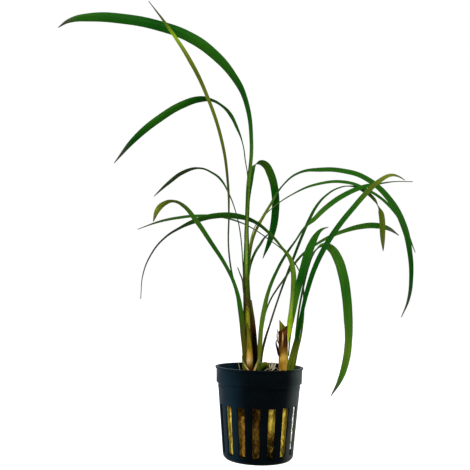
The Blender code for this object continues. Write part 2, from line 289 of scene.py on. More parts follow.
def stretch(tree, place, across, back, up):
    made = tree.nodes.new("ShaderNodeMapping")
    feed(tree, made.inputs["Vector"], place)
    made.inputs["Scale"].default_value = (across, back, up)
    return made.outputs[0]


def ramp(tree, value, stops):
    made = tree.nodes.new("ShaderNodeValToRGB")
    feed(tree, made.inputs[0], value)
    band = made.color_ramp
    while len(band.elements) < len(stops):
        band.elements.new(0.5)
    for element, (position, colour) in zip(band.elements, stops):
        element.position = position
        element.color = (*colour, 1.0)
    return made.outputs[0]


def object_place(tree):
    return tree.nodes.new("ShaderNodeTexCoord").outputs["Object"]


def own_map(tree):
    return tree.nodes.new("ShaderNodeUVMap").outputs[0]


def parts_of(tree, place):
    made = tree.nodes.new("ShaderNodeSeparateXYZ")
    feed(tree, made.inputs[0], place)
    return made.outputs


# %% [markdown]
# Two effects are used by several finishes, so each is a node group with named sockets.
# The first is the marking of a leaf. Mondo grass has veins that run side by side from
# foot to tip, a groove along the middle and a thin dark margin. All of them follow the
# leaf, so the group reads the leaf's own map, which runs along it and across it.

# %% The leaf markings group
def new_group(name, inputs, outputs):
    group = bpy.data.node_groups.new(name, "ShaderNodeTree")
    for label, kind in inputs:
        group.interface.new_socket(name=label, in_out="INPUT", socket_type=kind)
    for label in outputs:
        group.interface.new_socket(name=label, in_out="OUTPUT", socket_type="NodeSocketFloat")
    given = group.nodes.new("NodeGroupInput").outputs
    result = group.nodes.new("NodeGroupOutput").inputs
    return group, given, result


# on the way from the midrib, 0, to the edge, 1
GROOVE_ENDS = 0.16
MARGIN = (0.80, 0.98)
STREAK_SCALE = 0.62
markings, given, result = new_group(
    "leaf_markings",
    (("Map", "NodeSocketVector"), ("Veins", "NodeSocketFloat"), ("Runs", "NodeSocketFloat")),
    ("Along", "Across", "Side", "Ridges", "Streaks", "Groove", "Margin"))
along, across = parts_of(markings, given["Map"])[:2]
off_midrib = maths(markings, "ABSOLUTE", maths(markings, "SUBTRACT", across, 0.5))
side = times(markings, off_midrib, 2.0)
veins = times(markings, across, given["Veins"])
wave = maths(markings, "SINE", times(markings, veins, math.tau))
streak_place = markings.nodes.new("ShaderNodeCombineXYZ")
feed(markings, streak_place.inputs[0], times(markings, along, given["Runs"]))
feed(markings, streak_place.inputs[1], veins)
feed(markings, result["Along"], along)
feed(markings, result["Across"], across)
feed(markings, result["Side"], side)
feed(markings, result["Ridges"], maths(markings, "MULTIPLY_ADD", wave, 0.5, 0.5))
feed(markings, result["Streaks"], noise(markings, streak_place.outputs[0], STREAK_SCALE))
feed(markings, result["Groove"], soft_step(markings, side, 0.0, GROOVE_ENDS, 1.0, 0.0))
feed(markings, result["Margin"], soft_step(markings, side, *MARGIN))
print("group", markings.name, "with", len(result) - 1, "outputs")

# %% [markdown]
# The second group is mottling: soft patches with finer grain in them, read from where a
# point is on the object. The pot, the wool, the crowns and the dry sheaths all use it at
# their own scale, and pull it out along one axis where their fibres run that way.

# %% The mottling group
# between which values of the noise each output rises from 0 to 1
PATCH_STEP = (0.38, 0.62)
GRAIN_STEP = (0.30, 0.70)
SPECK_STEP = (0.60, 0.68)
mottling, given, result = new_group(
    "mottling",
    (("Place", "NodeSocketVector"), ("Patch Scale", "NodeSocketFloat"),
     ("Grain Scale", "NodeSocketFloat")),
    ("Patches", "Grain", "Specks"))
patches = noise(mottling, given["Place"], given["Patch Scale"], detail=2.0)
grain = noise(mottling, given["Place"], given["Grain Scale"], detail=5.0, rough=0.65)
feed(mottling, result["Patches"], soft_step(mottling, patches, *PATCH_STEP))
feed(mottling, result["Grain"], soft_step(mottling, grain, *GRAIN_STEP))
feed(mottling, result["Specks"], soft_step(mottling, grain, *SPECK_STEP))
print("group", mottling.name, "with", len(result) - 1, "outputs")

# %% [markdown]
# A finish starts as Blender's Principled shader. What is the same all over, such as the
# strength of its reflections, is set on the shader itself. A group is placed beside it
# with its own values, and only what changes over the surface is linked: colour,
# roughness and bumps.

# %% Starting a finish
def use_group(tree, group, **values):
    """Place a group; an underscore in a value's name stands for the space in the socket's."""
    made = tree.nodes.new("ShaderNodeGroup")
    made.node_tree = group
    for label, value in values.items():
        feed(tree, made.inputs[label.replace("_", " ")], value)
    return made.outputs


def new_finish(name, roughness, specular):
    """The roughness is the plain one, which paint replaces where it changes over the surface."""
    material = bpy.data.materials.new(name)
    material.use_nodes = True
    shader = material.node_tree.nodes["Principled BSDF"]
    shader.inputs["Roughness"].default_value = roughness
    shader.inputs["Specular IOR Level"].default_value = specular
    return material, material.node_tree, shader


def paint(tree, shader, colour, roughness):
    tree.links.new(colour, shader.inputs["Base Color"])
    tree.links.new(roughness, shader.inputs["Roughness"])


def add_bump(tree, shader, height, strength, depth):
    made = tree.nodes.new("ShaderNodeBump")
    made.inputs["Strength"].default_value = strength
    made.inputs["Distance"].default_value = depth
    feed(tree, made.inputs["Height"], height)
    tree.links.new(made.outputs[0], shader.inputs["Normal"])


print("groups to place", [group.name for group in (markings, mottling)])

# %% [markdown]
# ## The leaf finish
# From foot to tip a leaf changes from pale yellow-green, where it sat in its sheath out of
# the light, to deep green, and ends in a dry violet-grey point. Each leaf gets a ramp of
# named colours along its length. The veins then lighten and darken it in stripes, and the
# margin turns it towards violet grey, which is all that shows of a leaf seen edge on.

# %% Colours and the leaf finish
COLOURS = {
    "deep": (0.001, 0.046, 0.0004), "leaf": (0.009, 0.072, 0.0015), "fresh": (0.026, 0.100, 0.004),
    "light": (0.055, 0.130, 0.007), "olive": (0.050, 0.082, 0.003), "stem": (0.095, 0.140, 0.009),
    "lime": (0.150, 0.280, 0.006), "glow": (0.380, 0.530, 0.010), "pale": (0.220, 0.280, 0.070),
    "violet": (0.055, 0.045, 0.042), "dusk": (0.022, 0.048, 0.012), "umber": (0.045, 0.048, 0.003),
    "straw": (0.300, 0.180, 0.020), "gold": (0.620, 0.400, 0.060), "bark": (0.045, 0.020, 0.006),
    "ochre": (0.240, 0.180, 0.010), "moss": (0.150, 0.165, 0.008), "sprout": (0.150, 0.240, 0.030),
    "rust": (0.130, 0.040, 0.010), "soot": (0.003, 0.0015, 0.0005), "cream": (0.740, 0.540, 0.220),
    "hay": (0.310, 0.330, 0.016)}
LEAF_VEINS = 7.0
STREAK_LENGTH = 22 * MM
STRIPE_TINT = (1.8, 1.40, 1.4)
GROOVE_SHADE_TINT = (0.55, 0.62, 0.6)


def colours_along(tree, marks, words):
    """Named colours, each with its place from 0 at the foot to 1 at the tip."""
    words = words.split()
    stops = [(float(place), COLOURS[colour]) for colour, place in zip(words[::2], words[1::2])]
    return ramp(tree, marks["Along"], stops)


def leaf_finish(name, words, length):
    material, tree, shader = new_finish(name, 0.54, 0.04)
    marks = use_group(tree, markings, Map=own_map(tree), Veins=LEAF_VEINS, Runs=length / STREAK_LENGTH)
    ground = colours_along(tree, marks, words)
    stripe = soft_step(tree, marks["Streaks"], 0.32, 0.68)
    edge_on = blend(tree, 0.4, ground, COLOURS["violet"])
    colour = blend(tree, times(tree, stripe, 0.6), ground, tint(tree, ground, STRIPE_TINT))
    # painted shade: the groove along the midrib is darkened
    colour = blend(tree, times(tree, marks["Groove"], 0.45), colour, tint(tree, ground, GROOVE_SHADE_TINT))
    colour = blend(tree, times(tree, marks["Margin"], 0.35), colour, edge_on)
    paint(tree, shader, colour, soft_step(tree, marks["Streaks"], 0.3, 0.7, 0.60, 0.46))
    add_bump(tree, shader, marks["Ridges"], 0.35, 0.12 * MM)
    return material


print(len(COLOURS), "named colours")

# %% [markdown]
# ## The leaves
# A leaf is a strip a third of a metre long and a few millimetres wide. It could be drawn
# as a curve with a flat bevel, but then its width and its fold can't change apart. So
# it starts as a grid, whose map already runs along and across it. Each cross row of
# the grid is scaled to the leaf's width and fold at that place. Subdivision rounds it,
# a Curve modifier bends it along its midrib, and Solidify gives it a thick middle and
# thin margins. The measurements repeat those of the CAD source, in millimetres.

# %% Where the leaves of the left tuft run
# A leaf's entry gives its greatest width, its width at the base, the length of its tip and
# the hollow at its foot, then the colours along it, a point that carries its foot into the
# tuft where it needs one, and its midrib as in the CAD source. A point is a place across,
# back and up, and a turn in degrees, where 0 shows the upper face and 180 the lower one.
# A fifth number makes the leaf that many times as wide there as its plain form.
LEAVES = {
    "tall_left": (
        6.3, 3.6, 45, 3.2,
        "stem 0 stem .22 light .34 leaf .45 deep .53 leaf .6 leaf .67 deep .77 leaf .95 violet 1",
        None, [
        (-5.4, 0, 47, 90, 0.6), (-6, 0, 62, 90, 0.6), (-7.8, 0, 82, 90, 0.6), (-8.2, 0, 100, 92, 0.6),
        (-8.6, 0, 116, 104, 0.6), (-8.9, 0, 132, 114, 0.65), (-8.6, 0, 152, 114), (-7.0, 0, 180, 110),
        (-11.3, 0, 207.5, 113), (-18.3, 1, 221.5, 121), (-30.7, 2, 236.2, 142),
        (-46.5, 4, 248.3, 165), (-66.2, 7, 257, 168), (-89, 11, 263.4, 168),
        (-113, 15, 266.5, 164), (-127, 17, 265, 157), (-134, 18, 261, 147)]),
    "upright_olive": (
        4.0, 2.4, 60, 0.4,
        "leaf 0 leaf .2 dusk .35 olive .5 stem .68 olive .75 stem .82 lime .87 olive .92 violet 1",
        (-7.6, -0.2, 46.5, 60), [
        (-8.2, -0.2, 49, 60), (-8.8, -0.3, 60, 60), (-11.2, -0.4, 80, 60),
        (-14.7, -0.4, 94, 68), (-17.3, -0.8, 105, 80), (-19.0, -2.5, 119, 85),
        (-19.1, -4, 136, 84), (-20.0, -5, 154, 74), (-24.2, -6, 179.7, 64),
        (-34.8, -6, 209.8, 56), (-44.3, -5.5, 228.8, 46), (-57.2, -4, 249, 46),
        (-71.5, -1, 269, 46)]),
    "upper_left": (
        4.4, 2.0, 42, 0.3,
        "leaf 0 leaf .5 deep .6 leaf .7 leaf .8 deep .9 violet 1",
        (-8.4, 0.8, 110, 92), [
        (-8.7, 1.4, 122, 92), (-8.8, 1.6, 138, 92), (-8.7, 1.3, 161, 90), (-10.2, 0.5, 170, 88),
        (-11.8, -0.3, 179.5, 88), (-16, 0.5, 190.3, 108), (-20, 1, 198, 112),
        (-25.3, 1.5, 203.6, 93), (-31.5, 2, 207.1, 94), (-38, 2, 207.7, 125),
        (-48, 3, 205.1, 150), (-63, 5, 196.7, 160), (-78.5, 8, 184.5, 160),
        (-91.5, 11, 169.8, 150)]),
    "middle_left": (
        3.2, 1.8, 30, 0.3,
        "leaf 0 dusk .4 leaf .6 dusk .8 dusk .92 violet 1",
        (-8.7, -0.2, 86, 90), [
        (-9.8, -0.5, 98, 90), (-10.3, -0.4, 107, 90), (-12.8, 0.5, 129, 86),
        (-15.6, 1, 140, 90), (-19.1, 1.5, 148.7, 95), (-24.9, 3, 158.6, 108),
        (-30, 4, 162.7, 98), (-37.5, 5, 165.7, 92), (-47.3, 7, 163.8, 118),
        (-57.3, 9, 157, 135), (-66, 11, 149.3, 130)]),
    "low_left": (
        3.8, 2.8, 13, 1.0,
        "moss 0 umber .06 umber .16 leaf .3 leaf .6 fresh .7 fresh .77 olive .84 stem .95 violet 1",
        (-7.6, -2.2, 46.5, 140, 1.1), [
        (-8.6, -2.8, 49.5, 140, 1.1), (-8.8, -2.8, 57, 140, 1.1), (-9.8, -3, 67, 140, 1.25),
        (-11.4, -3.5, 81, 136, 1.3), (-14.4, -4, 94, 122), (-19.6, -4.5, 105.3, 121),
        (-29.4, -6, 120.3, 130), (-38.6, -8, 133.2, 136), (-45.5, -9, 140.6, 118),
        (-51, -10, 142.7, 101), (-55.7, -11, 141.1, 122), (-59, -12, 137.8, 155),
        (-61.5, -13, 130.3, 160)]),
    "withered_tip": (
        1.4, 1.2, 8, 0.2,
        "bark 0 violet .5 violet 1",
        (-8.4, -1.6, 84, 60), [
        (-9.8, -3.4, 93, 60), (-10.6, -3.6, 99, 60), (-12, -3.8, 102.5, 60),
        (-13.3, -4, 106, 60)]),
    "long_right": (
        5.0, 2.6, 50, 0.4,
        "stem 0 stem .18 leaf .3 leaf .45 leaf .7 deep .9 violet 1",
        (-7.4, 0.1, 96, 70), [
        (-6.6, 0.3, 108, 70), (-6.3, 1.8, 114, 66), (-4.3, 6.5, 125.5, 55),
        (-0.4, 12, 135, 52), (4.9, 16, 145, 60), (13.4, 20, 159.5, 77),
        (23.2, 24, 167.8, 64), (36.5, 28, 170.8, 44), (51, 31, 171, 40),
        (66, 33, 166.9, 36), (81.7, 34, 153, 28), (90.3, 34, 136.3, 24),
        (93.4, 33, 120, 38), (93.9, 32, 105, 42), (91.8, 31, 90, 38), (87.2, 30, 79, 40)]),
    "slender_right": (
        3.4, 1.8, 36, 0.3,
        "stem 0 pale .2 fresh .45 leaf .7 leaf .95 violet 1",
        (-7.8, 1.2, 90, 20), [
        (-7.6, 3.7, 100, 20), (-7.1, 5, 112, 50), (-4.6, 10, 130, 84), (-0.5, 17, 137, 80),
        (7, 20, 145, 82), (19, 22.5, 153.8, 74), (34, 24.5, 160.6, 54),
        (52.5, 26, 162.6, 44), (65.8, 26, 158, 48), (78.5, 25, 148.6, 46),
        (88, 23, 134.3, 42), (94, 21, 118.5, 40)]),
    "looped": (
        5.1, 3.6, 34, 0.4,
        "leaf 0 leaf .36 fresh .42 fresh .52 deep .64 deep .95 violet 1",
        (-8.8, 1.0, 122, 50), [
        (-8.6, 3.4, 134, 52), (-8.2, 4.2, 146, 50), (-7.1, 5.6, 158, 36), (-6.3, 6.8, 164.6, 36),
        (-5.0, 8.8, 168.7, 62), (-2.1, 12, 171.4, 100), (1.5, 15, 170.9, 136),
        (4.9, 19, 166.4, 160), (7.9, 22.5, 156.4, 165, 0.95), (8.5, 24, 143, 165, 0.95),
        (6.1, 24.5, 127.5, 165), (1.1, 24.5, 113.4, 160)]),
    "short_back": (
        2.6, 1.8, 18, 0.3,
        "stem 0 leaf .4 dusk .9 violet 1",
        (-7.4, 0.5, 82, 70), [
        (-7.1, 1.1, 94, 70), (-6.7, 2.9, 103, 65), (-5.5, 5.5, 110, 52), (-3.3, 10, 116.2, 50),
        (-0.6, 16, 121.2, 50), (2.1, 25, 126.5, 55), (4.6, 30, 129.3, 50), (6.5, 33, 129.8, 50)])}
print(len(LEAVES), "leaves in the left tuft")

# %% Where the middle shoot and the right tuft run
LEAVES.update({
    "centre_shoot": (
        3.4, 2.6, 55, 1.2,
        "moss 0 stem .1 light .2 leaf .35 leaf .55 fresh .63 leaf .71 leaf .84 dusk .94 violet 1",
        (-1.5, -1.6, 46.5, 30), [
        (-1.3, -1.8, 49.2, 30), (-0.2, -1.7, 55, 30, 1.1), (0.4, -1.4, 61, 34, 1.2), (0.9, -1, 70, 44, 1.25),
        (2.2, 0.5, 80, 34, 1.15), (5, 3.5, 93, 52), (10.2, 8, 106, 60), (15, 12, 115, 62),
        (21, 12.5, 124, 76), (26, 12, 131.5, 72), (31, 11, 136, 42), (38, 9, 143, 24),
        (48.9, 7, 150.8, 20), (60.5, 4.5, 155.6, 24), (69.5, 3, 157.2, 58), (78.5, 2, 158.4, 66),
        (88, 1, 158.2, 66)]),
    "hooked_right": (
        3.5, 1.5, 14, 0.4,
        "moss 0 umber .1 dusk .2 leaf .45 leaf .6 deep .78 olive .84 olive .97 violet 1",
        (0.4, 1.0, 46.5, 60, 1.2), [
        (0.9, 1.4, 49.5, 60, 1.3), (1.6, 2.2, 57, 54, 1.3), (3, 3.4, 64, 50, 1.3), (5.8, 6, 73.3, 66),
        (10.4, 9.5, 87.8, 72), (14.6, 13, 99.8, 68), (19.2, 16, 111.8, 64),
        (25.1, 17, 127.3, 64), (29.3, 17, 137.3, 60), (34.4, 17, 146.7, 64),
        (39.8, 16.5, 152.6, 70), (46, 15, 156.4, 72), (53, 13, 157.6, 80),
        (60.7, 10.5, 154.5, 112), (67, 8, 148.4, 106), (69.7, 7, 143, 60), (70.6, 6.5, 140, 15),
        (71.1, 6, 136, 5), (71.2, 5.5, 126.5, 5), (71.4, 5, 117.5, 5)]),
    "level_right": (
        3.8, 1.6, 18, 0.3,
        "stem 0 leaf .15 dusk .3 leaf .5 fresh .68 leaf .9 violet 1",
        (0.7, 1.0, 64, 70), [
        (2.1, 2.0, 76, 70), (5.6, 5, 87, 70), (10.2, 7, 94.8, 70), (14.3, 8.5, 100.6, 70),
        (20, 11.5, 109.3, 68), (26, 13, 116.3, 70), (33.4, 14.5, 121.8, 68),
        (41.5, 16, 126.6, 58), (51, 17, 130.6, 48), (60, 17.5, 133.3, 28),
        (69.4, 17.5, 134.2, 8), (76.8, 16, 132.3, 12), (83, 15, 128, 30)]),
    "bright_sheathed": (
        4.0, 3.2, 80, 2.0,
        "gold 0 glow .04 glow .11 lime .15 sprout .19 light .24 light .32 leaf .48 leaf .62 "
        "dusk .76 violet 1",
        (15.2, 0.6, 46.5, 150), [
        (15.0, 0.8, 50, 150), (14.3, 0.6, 58.5, 150), (14.6, 0.5, 64, 150), (16.1, 0.5, 70.5, 150),
        (16.9, 0.5, 76, 150, 1.05), (18, 0.5, 84, 150), (18.8, 0.5, 95, 148),
        (18.6, 0.8, 104, 140), (16.9, 1.6, 111.3, 126),
        (12.2, 2.8, 118, 101), (4.7, 4.5, 126.7, 108), (-4.7, 6.5, 134, 114),
        (-15.6, 8.8, 137.5, 140), (-27.5, 11.5, 137.9, 138), (-39, 14, 135.4, 130),
        (-50, 16, 130.6, 103), (-60.1, 18, 124.1, 93), (-68.2, 20, 114, 92),
        (-73, 22, 102, 92), (-74.3, 24, 87, 92)]),
    "crossing_left": (
        2.8, 1.8, 45, 0.6,
        "light 0 stem .08 leaf .2 dusk .35 dusk .45 leaf .6 leaf .75 dusk .94 violet 1",
        (18.9, 2.2, 46.5, 50), [
        (19.7, 2.6, 49.5, 50), (21.3, 2.8, 58, 50), (23.4, 3.4, 67, 54), (24.8, 4.4, 77, 66),
        (25.3, 5.6, 88, 76), (24.4, 6.6, 100, 80), (20.2, 7.6, 109.5, 82), (13.5, 8.8, 117, 84),
        (4, 12, 124.5, 82), (-7, 15.5, 132, 78), (-17.5, 17, 136.3, 66),
        (-28, 18.5, 138.6, 56), (-39.5, 19.5, 138.9, 48), (-51, 20.5, 137.8, 40),
        (-63.5, 22, 135.4, 34), (-78, 24, 130.5, 40)]),
    "broad_short": (
        5.2, 0.6, 24, 0.5,
        "light 0 fresh .3 fresh .4 deep .54 leaf .8 leaf .95 violet 1",
        (16.6, 1.9, 56, 25), [
        (17.5, 1.6, 67, 25), (18.7, 0.6, 75, 25), (19.9, -1.0, 83, 25, 0.7), (20.95, -2.1, 91, 22, 0.78),
        (22.35, -2.6, 98, 20, 0.82), (24.6, -3, 106, 22, 0.92), (27.0, -3.5, 114.5, 22),
        (29.1, -4, 120, 20), (31.6, -5, 125, 30), (34.2, -6, 128, 40), (38, -8, 129.5, 50)]),
    "long_dark": (
        3.3, 3.4, 26, 1.4,
        "stem 0 stem .06 olive .11 deep .15 deep .5 leaf .75 olive .86 stem .93 violet 1",
        (17.2, -1.2, 46.5, 25, 1.1), [
        (17.7, -1.4, 49.5, 25, 1.15), (19.4, -1.5, 58, 24, 1.05), (21.3, -2, 66.5, 26, 0.68),
        (24.4, -3, 83, 28, 0.64), (27.2, -4, 95, 28, 0.86), (30.9, -4.5, 106.5, 34), (36.3, -5, 118, 28),
        (44.1, -5, 130.4, 25), (52.4, -5, 141, 28), (61, -5, 151, 28), (67.8, -6, 157.2, 28),
        (74, -7, 160.2, 22), (78.3, -8, 159, 30), (81.1, -9, 156.9, 35)]),
    "broad_drooping": (
        5.9, 2.0, 44, 0.4,
        "light 0 leaf .2 dusk .3 fresh .4 leaf .6 fresh .74 light .83 fresh .92 violet 1",
        (20.5, 1.2, 66, 68), [
        (22.3, 2.2, 81, 68), (23.6, 2, 89, 68), (25.5, 2, 98.5, 70), (27.8, 1.8, 108, 72),
        (30, 1.8, 114, 76), (32.7, 1.6, 118, 86), (36.4, 1, 119.9, 50), (40.4, 0, 118, 20),
        (43.9, -1.5, 112.5, 8), (46.7, -4, 102.6, 14), (48.2, -6, 92, 20),
        (48.8, -9, 79, 26), (48.5, -12, 66, 38), (46.8, -14, 55, 28),
        (43.3, -16, 45, 12), (38.4, -18, 37, 20)])})
print(len(LEAVES), "leaves in all")

# %% [markdown]
# Real leaves widen slowly from the foot, keep their width and narrow fast at the tip.
# Near the foot they are folded deep, to clasp the next leaf, and higher up they are almost
# flat. One rule for the width and one for the fold give every leaf this form, from its own
# few measurements.

# %% The leaf's width and fold
# the fold of a free blade as a part of its width, and the length over which the foot opens
FOLD = 0.10
FOOT_LENGTH = 85 * MM
TIP_POWER = 2.6
NARROWEST = 0.4 * MM


def eased(part):
    """From 0 to 1, starting and ending slowly."""
    part = min(max(part, 0.0), 1.0)
    return part * part * (3 - 2 * part)


def leaf_width(distance, length, widest, base, tip):
    """It swells to the middle of the leaf and narrows over the tip."""
    width = base + (widest - base) * eased(distance / (length / 2))
    into_tip = (distance - (length - tip)) / tip
    if into_tip > 0:
        width *= 1 - min(into_tip, 1.0) ** TIP_POWER
    return max(width, NARROWEST)


def leaf_hollow(distance, width, foot_hollow):
    """How deep the leaf is folded, from the clasping foot to the almost flat blade."""
    fade = eased(distance / FOOT_LENGTH)
    return foot_hollow * (1 - fade) + FOLD * width * fade


def swell_at(points, distance):
    """How much wider than its plain form the leaf is, read between two points."""
    walked = 0.0
    for first, second in zip(points, points[1:]):
        step = math.dist(first[:3], second[:3]) * MM
        if distance <= walked + step:
            low, high = [(*point, 1.0)[4] for point in (first, second)]
            return low + (high - low) * (distance - walked) / step
        walked += step
    return 1.0


print("a free blade 5 mm wide is folded", round(leaf_hollow(FOOT_LENGTH, 5, 0), 2), "mm deep")

# %% [markdown]
# The guide is a Bezier curve with the midrib's points as its knots. The tilt of a knot
# turns the leaf about its midrib. The curve is drawn lying flat, because its twist is then
# measured from the plane of the plant, and the finished leaf is stood up at the end.

# %% The guide along the midrib
def draw_guide(points):
    curve = bpy.data.curves.new("midrib", "CURVE")
    curve.dimensions = "3D"
    curve.twist_mode = "Z_UP"
    curve.use_stretch = True
    curve.use_deform_bounds = True
    spline = curve.splines.new("BEZIER")
    spline.bezier_points.add(len(points) - 1)
    sense = -1 if points[-1][0] > points[0][0] else 1
    for knot, (across, back, up, turn, *_) in zip(spline.bezier_points, points):
        knot.co = (across * MM, up * MM, -back * MM)
        knot.handle_left_type = "AUTO"
        knot.handle_right_type = "AUTO"
        knot.tilt = math.radians(sense * turn)
    guide = bpy.data.objects.new("midrib", curve)
    bpy.context.scene.collection.objects.link(guide)
    return guide


def run_length(points):
    return sum(math.dist(first[:3], second[:3]) for first, second in zip(points, points[1:])) * MM


longest = max(LEAVES, key=lambda name: run_length(LEAVES[name][-1]))
print("the longest leaf is", longest, "at", round(run_length(LEAVES[longest][-1]) / MM), "mm")

# %% Model one leaf
ROW_SPACING = 6 * MM
FEWEST_ROWS = 6
# how far each column of corners stands from the midrib, in widths, and how high, in hollows
CROSS_SECTION = ((0.5, 0.5), (0.25, -0.25), (0.0, -0.5))


def pick_row(piece, place, rows):
    """Select one cross row of a grid that is one metre long."""
    pick(piece, "VERT", lambda corner: abs(corner.x - place) < 0.2 / rows)


def model_leaf(name, points, row_sizes, thickness, margin=0.35):
    """row_sizes gives width and hollow at a distance from the foot, and margin says how
    thick the edge is beside the middle."""
    length = run_length(points)
    rows = max(FEWEST_ROWS, round(length / ROW_SPACING))
    deselect_all()
    bpy.ops.mesh.primitive_grid_add(x_subdivisions=rows, y_subdivisions=4, size=1)
    leaf = bpy.context.object
    leaf.name = name
    bpy.ops.object.mode_set(mode="EDIT")
    for across, lift in CROSS_SECTION:
        pick(leaf, "VERT", lambda corner: abs(abs(corner.y) - across) < 0.01)
        bpy.ops.transform.translate(value=(0, 0, lift))
    for row in range(rows + 1):
        place = row / rows - 0.5
        width, hollow = row_sizes(length * row / rows, length)
        pick_row(leaf, place, rows)
        bpy.ops.transform.resize(value=(1, width, hollow), center_override=(place, 0, 0))
    bpy.ops.mesh.select_all(action="SELECT")
    bpy.ops.transform.resize(value=(length, 1, 1), center_override=(0, 0, 0))
    bpy.ops.object.mode_set(mode="OBJECT")
    rib = leaf.vertex_groups.new(name="thick_middle")
    map_layer = leaf.data.uv_layers.active.data
    for loop in leaf.data.loops:
        side = abs(map_layer[loop.index].uv.y - 0.5) * 2
        rib.add([loop.vertex_index], 1 - (1 - margin) * side * side, "REPLACE")
    round_off(leaf, 2)
    bend = leaf.modifiers.new("bend", "CURVE")
    guide = draw_guide(points)
    bend.object = guide
    bend.deform_axis = "POS_X"
    shell = leaf.modifiers.new("thickness", "SOLIDIFY")
    shell.thickness = thickness
    shell.offset = 0.0
    shell.vertex_group = rib.name
    apply_modifiers(leaf)
    bpy.data.objects.remove(guide)
    leaf.rotation_euler = (math.pi / 2, 0, 0)
    leaf.vertex_groups.clear()
    return close_up(leaf, 50)


# %% Make all the leaves
LEAF_THICKNESS = 0.5 * MM
for name, (widest, base, tip, hollow, look, foot, points) in LEAVES.items():
    route = ([foot] if foot else []) + points
    extra = run_length([foot, points[0]]) if foot else 0.0

    def row_sizes(distance, length):
        free = distance - extra
        width = leaf_width(free, length - extra, widest * MM, base * MM, tip * MM)
        width *= swell_at(route, distance)
        return width, leaf_hollow(free, width, hollow * MM)

    leaf = model_leaf(name + "_leaf", route, row_sizes, LEAF_THICKNESS)
    finish = leaf_finish(name + "_finish", look, run_length(route))
    node = name + "_blade"
    slot = next(row["material_slot"] for row in frame["record"]["subparts"] if row["node"] == node)
    hand_over(leaf, slot, finish, node)

# %% [markdown]
# ## A tube with a map
# The clasped feet, the dry wraps and the roots are tubes. A cylinder could be stretched
# into them, but its rings carry no map for the veins to follow. So a tube is a grid too:
# its columns are moved round into a ring, and each of its rows is then scaled and moved
# to a measured height. Where the two sides meet, the doubles are merged.

# %% Roll a grid into a tube
# where the rows wait for their turn, in metres, and how near the two sides meet
WAITING = -2.0
SEAM = 0.01 * MM
# how far from its last ring an end of a tube is still looked for, in millimetres
END_REACH = 0.1


def round_ring(turn):
    return -math.sin(turn), math.cos(turn)


def model_tube(name, rings, columns, section=round_ring, levels=1):
    """Each ring is its middle across, back and up, and its half width and half depth."""
    deselect_all()
    rows = len(rings) - 1
    bpy.ops.mesh.primitive_grid_add(x_subdivisions=rows, y_subdivisions=columns, size=1)
    tube = bpy.context.object
    tube.name = name
    bpy.ops.object.mode_set(mode="EDIT")
    for column in range(columns + 1):
        place = column / columns - 0.5
        across, back = section(column / columns * math.tau)
        pick(tube, "VERT", lambda corner: abs(corner.z) < 1e-6 and abs(corner.y - place) < 0.1 / columns)
        bpy.ops.transform.translate(value=(0, across - place, back))
    bpy.ops.mesh.select_all(action="SELECT")
    bpy.ops.transform.translate(value=(WAITING, 0, 0))
    for row, (across, back, up, half_width, half_depth) in enumerate(rings):
        place = WAITING + row / rows - 0.5
        pick_row(tube, place, rows)
        bpy.ops.transform.resize(value=(1, half_width * MM, half_depth * MM), center_override=(0, 0, 0))
        bpy.ops.transform.translate(value=(up * MM - place, across * MM, back * MM))
    bpy.ops.mesh.select_all(action="SELECT")
    bpy.ops.mesh.remove_doubles(threshold=SEAM)
    bpy.ops.object.mode_set(mode="OBJECT")
    upright = Matrix.Rotation(-math.pi / 2, 3, "X") @ Matrix.Rotation(-math.pi / 2, 3, "Z")
    tube.rotation_euler = upright.to_euler()
    bpy.ops.object.transform_apply(location=False, rotation=True, scale=False)
    round_off(tube, levels)
    apply_modifiers(tube)
    return tube


def cap(tube, rings, top=True):
    """Close the foot of a tube, and its top unless that is cut off."""
    low = (rings[0][2] + END_REACH) * MM
    high = (rings[-1][2] - END_REACH) * MM
    select_only(tube)
    bpy.ops.object.mode_set(mode="EDIT")
    pick(tube, "VERT", lambda corner: corner.z < low)
    bpy.ops.mesh.edge_face_add()
    if top:
        pick(tube, "VERT", lambda corner: corner.z > high)
        bpy.ops.mesh.edge_face_add()
    bpy.ops.object.mode_set(mode="OBJECT")


print("a placed row can't be picked again, because the others wait", -WAITING, "m below")

# %% [markdown]
# ## The stem of clasped sheaths
# Under its first free leaf the left tuft looks like a stem, but it is the feet of its
# leaves, each folded into the next. Its front is one pale keel between two dark sides.
# The tube takes the widths measured in the photograph, and its section is pinched on
# both sides of the keel, where the edges of the next sheath lie.

# %% Model the stem
# angles from the front in radians, and the pinch and the rise as parts of the radius
GROOVE_ANGLE = 0.75
GROOVE_SPREAD = 0.22
GROOVE_PINCH = 0.13
KEEL_SPREAD = 0.35
KEEL_RISE = 0.07
# middle across, back and up, half width and half depth, in millimetres
STEM_RINGS = [
    (-5.2, 0, 46.6, 2.5, 2.3), (-5.7, 0, 52.3, 2.5, 2.3), (-6.1, 0, 59, 2.5, 2.2),
    (-6.6, 0, 67.5, 2.5, 2.1), (-7.15, 0, 75.9, 2.45, 2.1), (-7.5, 0, 84.5, 2.3, 2.1),
    (-7.85, 0, 90.2, 2.1, 2.1), (-8.2, 0, 96, 1.95, 2.1), (-8.4, 0, 101.8, 1.9, 2.0),
    (-8.45, 0, 107.6, 1.8, 2.0), (-8.45, 0, 113.4, 1.7, 1.9), (-8.4, 0, 119.3, 1.55, 1.9),
    (-8.7, 0, 128.1, 1.15, 1.8), (-8.5, 0, 136.9, 1.25, 1.8), (-8.3, 0, 145.9, 1.3, 1.8),
    (-8.1, 0, 154, 0.95, 1.7)]


def keeled_ring(turn):
    """A ring whose front is a keel between two shallow grooves."""
    from_front = abs(turn - math.pi)
    groove = math.exp(-((from_front - GROOVE_ANGLE) / GROOVE_SPREAD) ** 2)
    keel = math.exp(-(from_front / KEEL_SPREAD) ** 2)
    reach = 1 - GROOVE_PINCH * groove + KEEL_RISE * keel
    return -math.sin(turn) * reach, math.cos(turn) * reach


